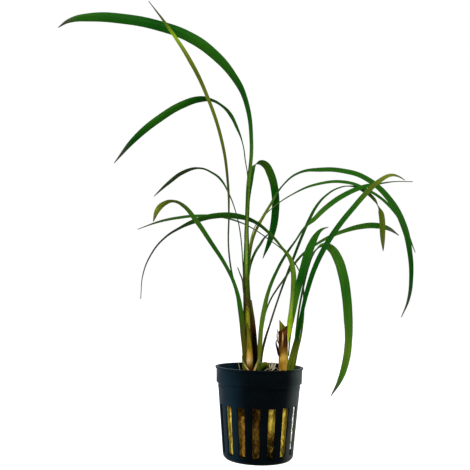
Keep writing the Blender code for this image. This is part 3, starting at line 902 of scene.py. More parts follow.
stem = model_tube("clasped_stem", STEM_RINGS, 32, keeled_ring)
cap(stem, STEM_RINGS)
close_up(stem, 40)
print("stem", round(stem.dimensions.z / MM, 1), "mm high")

# %% [markdown]
# The keel is ochre at its foot, hay yellow above it, then olive and at last green. Its
# sides are brown low down and green higher up, and the right one is worn to bark for a
# third of the way. The pale keel and the darker sides are partly the sheaths' own colours
# and partly a painted highlight down the front of the round stem, with painted shade on its
# sides. A painted picture could show all this, but it would blur close up. So two ramps
# colour the keel and the sides, the leaf markings draw the grooves between them, and flecks
# of old sheath are scattered over the lower part.

# %% Finish and hand over the stem
STEM_VEINS = 26.0
STEM_STREAKS = 7.0
# on the way round from the front, 0, to the back, 1
KEEL_EDGE = (0.08, 0.30)
# on the way across the map, where the front is 0.5, and along it, where the foot is 0
WORN_ACROSS = (0.57, 0.66)
WORN_ALONG = (0.30, 0.44)
FLECKED_ALONG = (0.42, 0.62)
STREAK_TINT = (0.42, 0.42, 0.4)
material, tree, shader = new_finish("stem_finish", 0.48, 0.07)
marks = use_group(tree, markings, Map=own_map(tree), Veins=STEM_VEINS, Runs=STEM_STREAKS)
keel = colours_along(tree, marks, "ochre 0 ochre .14 hay .21 hay .28 olive .35 olive .45 stem .52 "
                     "sprout .62 sprout .80 light .90 leaf 1")
flank = colours_along(tree, marks, "bark 0 bark .14 umber .32 leaf .5 leaf 1")
# pale keel and darker sides: partly the sheaths' own colours, partly a painted highlight down the front with
# painted shade on the sides
colour = blend(tree, soft_step(tree, marks["Side"], *KEEL_EDGE), keel, flank)
worn_side = times(tree, soft_step(tree, marks["Across"], *WORN_ACROSS),
                  soft_step(tree, marks["Along"], *WORN_ALONG, 1.0, 0.0))
colour = blend(tree, worn_side, colour, COLOURS["bark"])
streaks = soft_step(tree, marks["Streaks"], 0.40, 0.64, 0.0, 0.7)
colour = blend(tree, streaks, colour, tint(tree, colour, STREAK_TINT))
spots = use_group(tree, mottling, Place=stretch(tree, object_place(tree), 1.0, 1.0, 0.3),
                  Patch_Scale=650.0, Grain_Scale=3000.0)
flecks = times(tree, soft_step(tree, spots["Patches"], 0.55, 0.95, 0.0, 0.75),
               soft_step(tree, marks["Along"], *FLECKED_ALONG, 1.0, 0.1))
colour = blend(tree, flecks, colour, COLOURS["bark"])
paint(tree, shader, colour, soft_step(tree, marks["Streaks"], 0.3, 0.7, 0.56, 0.42))
add_bump(tree, shader, marks["Ridges"], 0.3, 0.1 * MM)
hand_over(stem, "light_leaf", material, "tall_left_blade")

# %% [markdown]
# ## The net pot
# The pot is one thin moulding, turned round its axis and then pierced. A turned profile
# cut by boxes would do, but the cuts would leave long thin faces round the slots. So its
# inner face is drawn ring by ring from a circle of 192 steps: six steps are one slot and
# six one rib, and the faces of a slot are simply deleted. Solidify then gives the wall and
# closes every cut edge, and a bevel takes off the corners as the mould does.

# %% Draw the pot's inner face
STEPS = 192
STEP_ANGLE = 360 / STEPS
# the middle of a slot, in degrees round from the right, and half its width in steps
FIRST_SLOT = -3.0
HALF_SLOT = 3
WALL_SLOTS = 16
FLOOR_SLOTS = 8
# in millimetres: heights, distances from the axis, and a height just above the floor
SLOT_FOOT = 3.6
SLOT_HEAD = 29.8
FLOOR_SLOT_STARTS = 6.5
FLOOR_SLOT_ENDS = 12.5
FLOOR_TOP = 1.1
# radius and height of each ring, in millimetres
POT_RINGS = [
    (1.2, 1.5), (2.6, 1.0), (FLOOR_SLOT_STARTS, 1.0), (FLOOR_SLOT_ENDS, 1.0), (17.3, 1.0), (17.9, 1.1),
    (18.5, 1.7), (18.7, 2.4), (18.81, SLOT_FOOT), (21.26, SLOT_HEAD), (22.06, 38.4), (22.21, 38.8),
    (22.24, 39.2), (22.15, 39.6), (22.3, 41.8), (23.2, 42.0), (23.25, 44.4), (23.4, 50.0), (25.0, 50.0)]


def draw_rings(rings):
    """Extrude the selected loop from ring to ring, each a radius and a height."""
    for (radius, height), (wider, higher) in zip(rings, rings[1:]):
        bpy.ops.mesh.extrude_region_move(TRANSFORM_OT_translate={"value": (0, 0, (higher - height) * MM)})
        bpy.ops.transform.resize(value=(wider / radius, wider / radius, 1),
                                 center_override=(0, 0, higher * MM))


deselect_all()
bpy.ops.mesh.primitive_circle_add(vertices=STEPS, radius=POT_RINGS[0][0] * MM,
                                  location=(0, 0, POT_RINGS[0][1] * MM),
                                  rotation=(0, 0, math.radians(FIRST_SLOT)))
pot = bpy.context.object
pot.name = "slotted_pot"
bpy.ops.object.transform_apply(location=True, rotation=True, scale=True)
bpy.ops.object.mode_set(mode="EDIT")
bpy.ops.mesh.select_mode(type="EDGE")
bpy.ops.mesh.select_all(action="SELECT")
draw_rings(POT_RINGS)
pick(pot, "VERT", lambda corner: corner.xy.length / MM < POT_RINGS[0][0] + 0.1)
bpy.ops.mesh.edge_face_add()
print("inner face", len(POT_RINGS), "rings")

# %% [markdown]
# The same slots are cut all round, though only six of them show in the photograph. Their
# faces are found by how many steps they lie from the middle of the nearest slot.

# %% Cut the slots
def off_middle(place, count):
    """How many steps a place is from the middle of the nearest of so many slots."""
    angle = math.degrees(math.atan2(place.y, place.x)) - FIRST_SLOT
    pitch = 360 / count
    return abs((angle + pitch / 2) % pitch - pitch / 2) / STEP_ANGLE


wall_cut = pick(pot, "FACE", lambda middle: (
    SLOT_FOOT < middle.z / MM < SLOT_HEAD and off_middle(middle, WALL_SLOTS) < HALF_SLOT))
bpy.ops.mesh.delete(type="FACE")
floor_cut = pick(pot, "FACE", lambda middle: (
    middle.z / MM < FLOOR_TOP and FLOOR_SLOT_STARTS < middle.xy.length / MM < FLOOR_SLOT_ENDS
    and off_middle(middle, FLOOR_SLOTS) < HALF_SLOT))
bpy.ops.mesh.delete(type="FACE")
bpy.ops.mesh.select_all(action="SELECT")
bpy.ops.mesh.normals_make_consistent(inside=False)
bpy.ops.object.mode_set(mode="OBJECT")
print("cut", wall_cut, "faces from the wall and", floor_cut, "from the floor")

# %% Give the pot its wall
WALL = 1.0 * MM
CORNER = 0.25 * MM
# bends in degrees from which a corner is bevelled and shaded sharp
SHARP = 38
lip_face = max(pot.data.polygons, key=lambda face: face.center.z)
wall = pot.modifiers.new("wall", "SOLIDIFY")
wall.thickness = WALL
wall.use_even_offset = True
wall.offset = -1.0 if lip_face.normal.z > 0 else 1.0
corners = pot.modifiers.new("moulded_corners", "BEVEL")
corners.limit_method = "ANGLE"
corners.angle_limit = math.radians(SHARP)
corners.width = CORNER
corners.segments = 2
apply_modifiers(pot)
close_up(pot, SHARP)
print("pot box", [round(side / MM, 2) for side in pot.dimensions])

# %% [markdown]
# The plastic is black and satin. On its left side a blue sheen is painted into its colour,
# a painted reflection of the light at the left, and on its right side a paler grey one,
# also a painted reflection. Both are masks on how far to the side a place lies, which is
# its place across divided by its distance from the axis. Specks of lime are scattered over the whole.

# %% Finish the pot
# each tone runs between two colours from patch to patch
BLACK = ((0.0002, 0.0005, 0.0010), (0.0005, 0.0012, 0.0020))
# the blue and the grey sheen are painted reflections, laid into the colour
PAINTED_BLUE_SHEEN = ((0.0025, 0.012, 0.020), (0.004, 0.017, 0.028))
PAINTED_GREY_SHEEN = ((0.034, 0.048, 0.045), (0.060, 0.074, 0.068))
LIME_SPECK = (0.06, 0.08, 0.09)
COLD_SHEEN = (0.55, 0.85, 1.0, 1.0)
# where each painted sheen fades, on the way from -1 at the far left to 1 at the far right
BLUE_SHEEN_SIDE = (-0.86, -0.20)
GREY_SHEEN_SIDE = (0.62, 0.96)


def distance_from_axis(tree, place):
    made = tree.nodes.new("ShaderNodeVectorMath")
    made.operation = "LENGTH"
    feed(tree, made.inputs[0], stretch(tree, place, 1.0, 1.0, 0.0))
    return made.outputs["Value"]


material, tree, shader = new_finish("black_pot_plastic", 0.34, 0.05)
shader.inputs["Specular Tint"].default_value = COLD_SHEEN
place = object_place(tree)
sideways = maths(tree, "DIVIDE", parts_of(tree, place)["X"], distance_from_axis(tree, place))
spots = use_group(tree, mottling, Place=place, Patch_Scale=90.0, Grain_Scale=900.0)
patches = spots["Patches"]
colour = blend(tree, patches, *BLACK)
# painted reflection: the blue sheen on the left side
blue_sheen_mask = soft_step(tree, sideways, *BLUE_SHEEN_SIDE, 1.0, 0.0)
colour = blend(tree, blue_sheen_mask, colour, blend(tree, patches, *PAINTED_BLUE_SHEEN))
# painted reflection: the pale grey sheen on the right side
grey_sheen_mask = soft_step(tree, sideways, *GREY_SHEEN_SIDE)
colour = blend(tree, grey_sheen_mask, colour, blend(tree, patches, *PAINTED_GREY_SHEEN))
colour = blend(tree, times(tree, spots["Specks"], 0.05), colour, LIME_SPECK)
dullness = maths(tree, "ADD", soft_step(tree, patches, 0.0, 1.0, 0.26, 0.38),
                 times(tree, spots["Grain"], 0.08))
paint(tree, shader, colour, dullness)
add_bump(tree, shader, spots["Grain"], 0.25, 0.03 * MM)
hand_over(pot, "black_plastic", material, "net_pot")

# %% [markdown]
# ## The rock wool
# The plug is spun stone fibre, matted and full of small hollows. A smooth cylinder with a
# rough picture on it would show its lie at the slots. It is drawn in rings like the pot,
# remeshed into even small faces, swollen a little where it presses into the slots, and
# sunk where the photograph shows a dark hole. Two cloud textures then push it in and out,
# one for lumps and one for tufts, and loose strands are laid over it afterwards.

# %% Model the plug
# radius and height of each ring, in millimetres
WOOL_RINGS = [(15.4, 1.7), (17.0, 3.4), (18.2, 18), (19.2, 30), (20.4, 42.6), (19.3, 44.6)]
WOOL_STEPS = 48
WOOL_FACE = 0.7 * MM
deselect_all()
bpy.ops.mesh.primitive_circle_add(vertices=WOOL_STEPS, radius=WOOL_RINGS[0][0] * MM, fill_type="NGON",
                                  location=(0, 0, WOOL_RINGS[0][1] * MM))
wool = bpy.context.object
wool.name = "wool_plug"
bpy.ops.object.transform_apply(location=True, rotation=False, scale=False)
bpy.ops.object.mode_set(mode="EDIT")
bpy.ops.mesh.select_mode(type="FACE")
bpy.ops.mesh.select_all(action="SELECT")
draw_rings(WOOL_RINGS)
bpy.ops.object.mode_set(mode="OBJECT")
remesh = wool.modifiers.new("even_faces", "REMESH")
remesh.mode = "VOXEL"
remesh.voxel_size = WOOL_FACE
apply_modifiers(wool)
print("even plug", len(wool.data.polygons), "faces")

# %% Swell and sink the plug
HALF_BULGE = 2.3
BULGE_INSIDE = 16 * MM
# from how far across to how far across in millimetres, and by how much, with none at the
# far sides, where light shows through the outermost slot
BULGES = [(0, 11, 1.07), (11, 16.5, 1.09)]
# angle round the pot, height, half width, half height, and the size that is left of it
HOLLOWS = [(-95.5, 16, 3.4, 13.0, 0.86), (-70.5, 6.5, 4.5, 6.8, 0.81), (-113, 27.5, 3.0, 2.4, 0.90)]
# the size of each texture's clouds and how far they push, in millimetres
CLOUDS = [("lumps", 4.5, 2.0), ("tufts", 1.5, 1.1)]
# a cloud's grey from which it pushes outwards; below it, it pulls in
PUSH_FROM = 0.62
bpy.ops.object.mode_set(mode="EDIT")
for near, far, bulge in BULGES:
    swollen = pick(wool, "VERT", lambda corner: (
        SLOT_FOOT < corner.z / MM < SLOT_HEAD and corner.xy.length > BULGE_INSIDE
        and near <= abs(corner.x / MM) < far and off_middle(corner, WALL_SLOTS) < HALF_BULGE))
    bpy.ops.transform.resize(value=(bulge, bulge, 1), center_override=(0, 0, 0))
    print(swollen, "corners swollen by", bulge)
for angle, up, half_width, half_height, size in HOLLOWS:
    middle = (math.radians(angle), up)
    pick(wool, "VERT", lambda corner: math.hypot(
        (math.atan2(corner.y, corner.x) - middle[0]) * corner.xy.length / MM / half_width,
        (corner.z / MM - middle[1]) / half_height) < 1)
    bpy.ops.transform.resize(value=(size, size, 1), center_override=(0, 0, 0))
bpy.ops.object.mode_set(mode="OBJECT")
for label, size, push in CLOUDS:
    clouds = bpy.data.textures.new(label, "CLOUDS")
    clouds.noise_scale = size * MM
    clouds.noise_depth = 2
    shift = wool.modifiers.new(label, "DISPLACE")
    shift.texture = clouds
    shift.strength = push * MM
    shift.mid_level = PUSH_FROM
apply_modifiers(wool)
close_up(wool, 60)
print("plug box", [round(side / MM, 1) for side in wool.dimensions])

# %% [markdown]
# Loose strands stand off the plug everywhere. Hair would grow them in one go, but it has
# no faces to hand over. So four strands are bent from a triangle that is extruded a step
# at a time, and copies of them, each turned and sized by chance, are laid over the plug
# and joined to it. One in six lies flat on the top, and the others lean on the side.

# %% Bend four strands
STRAND_KINDS = 4
STRAND_SECTIONS = 5
STRAND_RADIUS = 0.13 * MM
STRAND_STEP = 1.5 * MM
STRAND_BEND = 0.5
STRAND_TIP = 0.4
chance = random.Random(7)


def bend_strand(name):
    deselect_all()
    bpy.ops.mesh.primitive_circle_add(vertices=3, radius=STRAND_RADIUS, fill_type="NGON",
                                      location=(0, 0, 0))
    strand = bpy.context.object
    strand.name = name
    bpy.ops.object.mode_set(mode="EDIT")
    bpy.ops.mesh.select_mode(type="FACE")
    bpy.ops.mesh.select_all(action="SELECT")
    for section in range(STRAND_SECTIONS):
        across = chance.uniform(-STRAND_BEND, STRAND_BEND) * MM
        back = chance.uniform(-STRAND_BEND, STRAND_BEND) * MM
        bpy.ops.mesh.extrude_region_move(TRANSFORM_OT_translate={"value": (across, back, STRAND_STEP)})
    bpy.ops.transform.resize(value=(STRAND_TIP, STRAND_TIP, 1))
    bpy.ops.object.mode_set(mode="OBJECT")
    return strand


shapes = [bend_strand("strand_" + str(number)) for number in range(STRAND_KINDS)]
print("each strand has", len(shapes[0].data.polygons), "faces")

# %% Lay the strands over the plug
STRAND_COUNT = 1300
TOP_SHARE = 6
# heights and distances in millimetres: on the top, and on the side, where a strand stands
# a little inside or outside the plain plug
TOP_HEIGHTS = (44.4, 45.2)
TOP_REACH = 18
SIDE_HEIGHTS = (6.4, 42.0)
SIDE_STAND = (-0.9, 0.5)
STRAND_SIZES = (0.6, 1.25)


def wool_radius(up):
    """The plug's radius in millimetres at a height, read from its rings."""
    for (radius, height), (wider, higher) in zip(WOOL_RINGS, WOOL_RINGS[1:]):
        if up <= higher:
            return radius + (wider - radius) * (up - height) / (higher - height)
    return WOOL_RINGS[-1][0]


select_only(wool)
for number in range(STRAND_COUNT):
    around = Matrix.Rotation(chance.uniform(0, math.tau), 4, "Z")
    lean = chance.gauss(0, 0.8)
    if number % TOP_SHARE == 0:
        up = chance.uniform(*TOP_HEIGHTS)
        out = TOP_REACH * math.sqrt(chance.random())
        lean = math.pi / 2 + chance.gauss(0, 0.08)
    else:
        up = chance.uniform(*SIDE_HEIGHTS)
        out = wool_radius(up) + chance.uniform(*SIDE_STAND)
    strand = bpy.data.objects.new("strand", shapes[number % STRAND_KINDS].data.copy())
    spin = Matrix.Rotation(chance.uniform(0, math.tau), 4, "Z")
    size = Matrix.Scale(chance.uniform(*STRAND_SIZES), 4)
    strand.matrix_world = (around @ Matrix.Translation((out * MM, 0, up * MM))
                           @ Matrix.Rotation(lean, 4, "X") @ spin @ size
                           @ Matrix.Translation((0, 0, -STRAND_SECTIONS / 2 * STRAND_STEP)))
    bpy.context.scene.collection.objects.link(strand)
    strand.select_set(True)
bpy.ops.object.join()
for shape in shapes:
    bpy.data.objects.remove(shape)
print("plug with strands", len(wool.data.polygons), "faces")

# %% [markdown]
# At both sides no stains are laid, so the wool there is all golden, its plain colour laid
# there as painted light that keeps the outer slots light where they lie in shade. In the
# middle it is stained, and left of the middle it is also wet and brown. Nearer the axis, in
# its hollows and round the crowns, it is painted nearly black, which is painted shade. A
# tiled picture of wool would be the same in every slot, so the tones are mixed by masks
# instead, which read the place across and the distance from the axis. The fibre is the
# mottling group, pulled out upwards.

# %% Finish the wool
# each tone runs between two colours from grain to grain
GOLDEN = ((0.42, 0.25, 0.014), (1.0, 0.78, 0.12))
STAINED = ((0.05, 0.026, 0.002), (0.50, 0.29, 0.030))
WET_TINT = (0.46, 0.35, 0.32)
PATCH_TINT = (0.35, 0.28, 0.20)
PAINTED_HOLLOW_SHADE = (0.012, 0.007, 0.002)
# places across, where the wet part begins and ends, and beyond which nothing is stained, as painted light
# for the shaded outer slots
WET_BEGINS = (-14.0 * MM, -11.5 * MM)
WET_ENDS = (1.0 * MM, 4.5 * MM)
UNSTAINED_LIT_BEYOND = 11.0 * MM
# distances from the axis over which the painted shade of the hollows fades
HOLLOW_SHADE_FADE = (14.5 * MM, 18.0 * MM)
material, tree, shader = new_finish("rock_wool_fibre", 0.92, 0.10)
place = object_place(tree)
across = parts_of(tree, place)["X"]
spots = use_group(tree, mottling, Place=stretch(tree, place, 1.0, 1.0, 0.45), Patch_Scale=170.0,
                  Grain_Scale=1500.0)
wet = times(tree, soft_step(tree, across, *WET_BEGINS), soft_step(tree, across, *WET_ENDS, 1.0, 0.0))
# painted light: no stains at both sides, so the wool in the shaded outer slots stays light
unstained_lit_sides = maths(tree, "GREATER_THAN", maths(tree, "ABSOLUTE", across), UNSTAINED_LIT_BEYOND)
stains = times(tree, soft_step(tree, noise(tree, place, 75.0, 2.0), 0.46, 0.64),
               maths(tree, "SUBTRACT", 1.0, unstained_lit_sides))
grain = spots["Grain"]
colour = blend(tree, stains, blend(tree, grain, *GOLDEN), blend(tree, grain, *STAINED))
colour = blend(tree, wet, colour, tint(tree, colour, WET_TINT))
colour = blend(tree, times(tree, spots["Patches"], 0.35), colour, tint(tree, colour, PATCH_TINT))
# painted shade: nearly black nearer the axis, in the hollows and round the crowns
deep = soft_step(tree, distance_from_axis(tree, place), *HOLLOW_SHADE_FADE, 0.85, 0.0)
colour = blend(tree, deep, colour, PAINTED_HOLLOW_SHADE)
paint(tree, shader, colour, soft_step(tree, grain, 0.0, 1.0, 0.98, 0.78))
add_bump(tree, shader, grain, 0.6, 0.25 * MM)
close_up(wool, 60)
hand_over(wool, "rock_wool", material, "rock_wool_plug")

# %% [markdown]
# ## The crowns and their roots
# Each tuft stands on a crown, a low knob of root tissue from which thick pale roots run
# into the wool. A flattened ball alone would look like a pebble. Half a ball is cut off
# level with the wool, and one root is modelled as a tube, copied round the crown with a
# new size and turn each time, and joined to it.

# %% Model a crown
CROWN_FOOT = 45.3
CUT_BELOW = -0.4 * MM
# middle across, back and up, half width and half depth, for a crown of 8 mm radius
ROOT_RINGS = [(0, 0, 0, 0.75, 0.75), (0.3, 0, 2.2, 0.72, 0.7), (0.9, 0.2, 4.4, 0.6, 0.6),
              (2.2, 0.3, 6.2, 0.5, 0.5), (4.0, 0, 7.2, 0.42, 0.42), (5.8, -0.4, 7.6, 0.3, 0.3)]
ROOTS_DRAWN_FOR = 8
ROOT_COUNT = 9
ROOT_LEAN = math.radians(72)
KNOB_SIZE = 1.4 * MM
KNOB_PUSH = 0.7 * MM


def model_crown(name, across, back, radius, rise):
    """A low knob with roots round it, its measurements in millimetres."""
    deselect_all()
    bpy.ops.mesh.primitive_uv_sphere_add(segments=32, ring_count=16, radius=radius * MM,
                                         location=(0, 0, 0))
    crown = bpy.context.object
    crown.name = name
    bpy.ops.object.mode_set(mode="EDIT")
    bpy.ops.mesh.select_all(action="SELECT")
    bpy.ops.transform.resize(value=(1, 1, rise / radius))
    bpy.ops.mesh.bisect(plane_co=(0, 0, CUT_BELOW), plane_no=(0, 0, 1), clear_inner=True, use_fill=True)
    bpy.ops.object.mode_set(mode="OBJECT")
    root = model_tube(name + "_root", ROOT_RINGS, 8)
    start = Matrix.Translation((0.35 * radius * MM, 0, 0.6 * MM))
    copies = []
    for number in range(ROOT_COUNT):
        copy = bpy.data.objects.new("root", root.data.copy())
        bpy.context.scene.collection.objects.link(copy)
        turn = math.tau * (number + chance.uniform(-0.3, 0.3)) / ROOT_COUNT
        size = chance.uniform(0.75, 1.1) * radius / ROOTS_DRAWN_FOR
        copy.matrix_world = (Matrix.Rotation(turn, 4, "Z") @ start
                             @ Matrix.Rotation(ROOT_LEAN, 4, "Y") @ Matrix.Scale(size, 4))
        copies.append(copy)
    bpy.data.objects.remove(root)
    select_only(crown)
    for copy in copies:
        copy.select_set(True)
    bpy.ops.object.join()
    crown.location = (across * MM, back * MM, CROWN_FOOT * MM)
    bpy.ops.object.transform_apply(location=True, rotation=False, scale=False)
    round_off(crown, 1)
    knobs = bpy.data.textures.new(name + "_knobs", "CLOUDS")
    knobs.noise_scale = KNOB_SIZE
    push = crown.modifiers.new("knobs", "DISPLACE")
    push.texture = knobs
    push.strength = KNOB_PUSH
    apply_modifiers(crown)
    return close_up(crown, 60)


crowns = [model_crown("left_crown_roots", -4.4, 0, 5.6, 2.9),
          model_crown("right_crown_roots", 16.2, 0, 4.8, 2.9)]
print("roots on each crown", ROOT_COUNT)

# %% [markdown]
# Root tissue is dull and pale brown, with dirt in its dips. Nothing runs along it as veins
# do on a leaf, so the mottling alone gives its grain and its dirty patches.

# %% Finish the crowns
ROOT_BROWN = ((0.10, 0.065, 0.018), (0.36, 0.27, 0.11))
ROOT_DIRT = (0.040, 0.024, 0.008)
material, tree, shader = new_finish("root_tissue", 0.75, 0.15)
spots = use_group(tree, mottling, Place=object_place(tree), Patch_Scale=260.0, Grain_Scale=1600.0)
colour = blend(tree, spots["Grain"], *ROOT_BROWN)
colour = blend(tree, times(tree, spots["Patches"], 0.6), colour, ROOT_DIRT)
paint(tree, shader, colour, soft_step(tree, spots["Grain"], 0.0, 1.0, 0.85, 0.60))
add_bump(tree, shader, spots["Grain"], 0.5, 0.15 * MM)
for crown, node in zip(crowns, ("left_crown", "right_crown")):
    hand_over(crown, "root_crown", material, node)

# %% [markdown]
# ## The dry wraps and scraps
# Old leaves die back to papery wraps: a tan one in front of the left tuft, a black torn
# one on its right, thin pale bands round its foot, and curls beside the brown stub. They
# are leaves too, so the same tool models them, with the hollow side to the plant and a
# width for each of a few places. Their finish is straw instead of green.

# %% The dry finish
DRY_STREAK_TINT = (0.45, 0.36, 0.30)
DRY_STAIN_TINT = (0.40, 0.26, 0.22)


def dry_finish(name, words, edge_colour, edge, veins=13.0, wear=0.5, edge_from=(-0.2, -0.1)):
    """Colours along the piece, a darker edge, and stains that lie across the veins."""
    material, tree, shader = new_finish(name, 0.62, 0.03)
    marks = use_group(tree, markings, Map=own_map(tree), Veins=veins, Runs=4.0)
    spots = use_group(tree, mottling, Place=stretch(tree, object_place(tree), 1.0, 1.0, 0.4),
                      Patch_Scale=420.0, Grain_Scale=2600.0)
    ground = colours_along(tree, marks, words)
    streaks = soft_step(tree, marks["Streaks"], 0.34, 0.66, 0.0, 0.7)
    colour = blend(tree, streaks, ground, tint(tree, ground, DRY_STREAK_TINT))
    stains = times(tree, spots["Patches"], wear)
    colour = blend(tree, stains, colour, tint(tree, ground, DRY_STAIN_TINT))
    rim = times(tree, soft_step(tree, marks["Side"], *edge), soft_step(tree, marks["Along"], *edge_from))
    colour = blend(tree, rim, colour, COLOURS[edge_colour])
    paint(tree, shader, colour, soft_step(tree, spots["Grain"], 0.0, 1.0, 0.50, 0.78))
    add_bump(tree, shader, maths(tree, "ADD", marks["Ridges"], spots["Grain"]), 0.45, 0.12 * MM)
    return material


# %% [markdown]
# A torn scrap doesn't swell and narrow by a rule as a leaf does. So its widths are listed
# at a few distances from its foot, and the rest is read between them.

# %% Reading a width from a table
def between(table, distance):
    """Read the two numbers that a table gives for a distance, each step running straight."""
    for (start, *low), (end, *high) in zip(table, table[1:]):
        if distance <= end:
            part = (distance - start) / (end - start)
            return [(a + (b - a) * part) * MM for a, b in zip(low, high)]
    return [value * MM for value in table[-1][1:]]


print("half way, the width is", round(between([(0, 1, 0), (10, 3, 0)], 5)[0] / MM, 1), "mm")

# %% Model the wraps and scraps
PAPER = 0.3 * MM
PAPER_MARGIN = 0.6
# An entry gives the slot, the CAD nodes that the piece stands in for, the colours along it,
# the colour of its edge, and from where to where on the way out the edge comes in. Then
# follow its widths, each a distance from the foot, a width and a hollow, and its midrib.
SCRAPS = {
    # the cream stop low on the tan wrap is a painted highlight
    "tan_wrap": (
        "dry_sheath", ["left_tan_sheath"],
        "rust 0 rust .08 straw .15 cream .24 gold .34 ochre .5 moss .8 moss 1", "bark", (0.6, 0.95), [
        (0, 3.8, 1.5), (4.7, 4.3, 1.6), (12.2, 3.8, 1.4), (22.5, 2.0, 0.5), (28, 0.4, 0.1)], [
        (-5.5, -3.7, 46.8, 180), (-5.5, -4.1, 51.5, 180), (-5.7, -3.9, 59, 180),
        (-6.7, -3.2, 69, 180), (-7.3, -2.8, 74.5, 180)]),
    "dark_wrap": (
        "brown_sheath", ["left_dark_sheath"],
        "bark 0 soot .1 soot .52 bark .64 umber .8 moss 1", "bark", (0.6, 0.95), [
        (0, 3.2, 1.0), (12, 3.0, 1.0), (21, 2.6, 0.8), (29, 2.0, 0.5), (37, 1.1, 0.3), (41, 0.4, 0.1)], [
        (-2.6, -1.7, 46.8, 180), (-2.6, -1.8, 59, 180), (-3.1, -1.7, 67.6, 180),
        (-3.8, -1.5, 75, 180), (-4.6, -1.3, 81.5, 180), (-5.2, -1.2, 87.5, 180)]),
    "right_band": ("dry_sheath", [], "cream 0 pale .4 moss 1", "olive", (0.7, 1.0), [
        (0, 1.0, 0.2), (4, 1.3, 0.3), (11, 0.5, 0.1)], [
        (-2.9, -7.6, 47.9, 180), (-1.0, -6, 52.5, 180), (0, -5, 55.3, 180), (0.4, -2.6, 59.5, 180)]),
    "left_band": ("dry_sheath", [], "cream 0 pale .5 moss 1", "olive", (0.7, 1.0), [
        (0, 0.8, 0.2), (4, 1.1, 0.3), (10, 0.4, 0.1)], [
        (-5.8, -7.2, 48.0, 180), (-8, -6, 50.8, 180), (-9.1, -5, 52.6, 180), (-9.8, -3.6, 56, 180)]),
    "old_stub": ("dry_sheath", ["old_leaf_stub"], "light 0 light .4 moss .7 olive 1", "olive", (0.5, 0.9), [
        (0, 1.6, 0.5), (4, 3.0, 1.0), (8, 2.8, 0.9), (10, 1.4, 0.4)], [
        (-0.4, -4.8, 47.4, 180), (1.0, -5.2, 49.8, 180), (2.9, -5.2, 51.4, 180),
        (4.7, -4.8, 50.8, 180), (5.6, -4.4, 48.8, 180)]),
    "torn_strip": ("brown_sheath", [], "rust 0 straw .3 cream .6 cream .85 rust 1", "rust", (0.5, 0.9), [
        (0, 0.6, 0.1), (3, 1.0, 0.2), (7, 0.9, 0.2), (10.5, 0.4, 0.1)], [
        (12.7, -4.75, 60.0, 180), (12.9, -4.85, 65, 180), (13.0, -4.9, 70.2, 180)]),
    "dark_curl": ("brown_sheath", [], "bark 0 soot .5 bark 1", "soot", (0.5, 0.9), [
        (0, 1.3, 0.5), (5, 1.2, 0.4), (10, 0.5, 0.1)], [
        (11.0, -4.6, 56.6, 180), (9.9, -5.4, 60.8, 160), (9.2, -5.6, 64, 140), (10.4, -5, 66.6, 120)]),
    "pale_edge": ("dry_sheath", [], "rust 0 cream .3 cream .8 straw 1", "straw", (0.6, 1.0), [
        (0, 0.6, 0.1), (4, 1.0, 0.3), (7.5, 0.5, 0.1)], [
        (10.5, -5.4, 63.4, 150), (9.8, -6, 66.8, 150), (10.0, -5.8, 71.2, 150)]),
}
for name, (slot, nodes, look, edge_colour, edge, widths, points) in SCRAPS.items():
    scrap = model_leaf(name, points, lambda distance, length: between(widths, distance / MM),
                       PAPER, PAPER_MARGIN)
    hand_over(scrap, slot, dry_finish(name + "_paper", look, edge_colour, edge), *nodes)

# %% [markdown]
# ## The brown stub
# An old shoot stands cut off beside the right tuft: a green pointed heart, and round it a
# brown wrap with a torn edge. Both are tubes. The heart is cut slantwise with bisect, as
# scissors would cut it, and the cut is filled. The wrap is cut the other way and left
# open, its edge is shaken a little out of line, and Solidify makes it as thick as paper.

# %% Model the stub
# a place in millimetres that each cut goes through, and the way that it faces
HEART_CUT = ((11.1, -4, 76.4), (0.735, 0, 0.678))
WRAP_CUT = ((10.8, -4, 69.7), (-0.575, -0.1, 0.818))
# how steeply the torn edge rises, how far below it corners are shaken, and by how much
TORN_SLOPE = 0.70
TORN_BELOW = 1.0
TORN_SHAKE = 0.45 * MM
# middle across, back and up, half width and half depth, in millimetres
HEART_RINGS = [(13.2, -2.6, 58, 1.9, 1.5), (13.1, -2.6, 66, 2.0, 1.6), (13.0, -2.7, 71, 2.0, 1.6),
               (12.9, -2.8, 79, 2.0, 1.6)]
WRAP_RINGS = [(13.3, -2.4, 46.6, 2.2, 1.9), (13.3, -2.6, 51, 2.35, 2.0), (13.3, -2.6, 57, 2.4, 2.0),
              (13.2, -2.6, 62.5, 2.45, 2.05), (13.1, -2.6, 67, 2.35, 1.95), (13.0, -2.7, 75, 2.3, 1.9)]


def cut_off(tube, through, direction, fill):
    """Cut away what lies on the far side of a plane, as with a knife."""
    select_only(tube)
    bpy.ops.object.mode_set(mode="EDIT")
    bpy.ops.mesh.select_all(action="SELECT")
    bpy.ops.mesh.bisect(plane_co=[value * MM for value in through], plane_no=direction,
                        clear_outer=True, use_fill=fill)
    return tube


heart = cut_off(model_tube("stub_heart", HEART_RINGS, 24), *HEART_CUT, fill=True)
cap(heart, HEART_RINGS, top=False)
close_up(heart, 40)
wrap = cut_off(model_tube("stub_wrap", WRAP_RINGS, 24, levels=2), *WRAP_CUT, fill=False)
(low_side, _, low_edge), _ = WRAP_CUT
torn = pick(wrap, "VERT", lambda corner: (
    (corner.z / MM - low_edge) - TORN_SLOPE * (corner.x / MM - low_side) > -TORN_BELOW))
bpy.ops.transform.vertex_random(offset=TORN_SHAKE, uniform=0.6, normal=0.2, seed=3)
bpy.ops.object.mode_set(mode="OBJECT")
paper = wrap.modifiers.new("paper", "SOLIDIFY")
paper.thickness = PAPER
paper.offset = 0.0
apply_modifiers(wrap)
close_up(wrap, 50)
print("torn corners", torn)

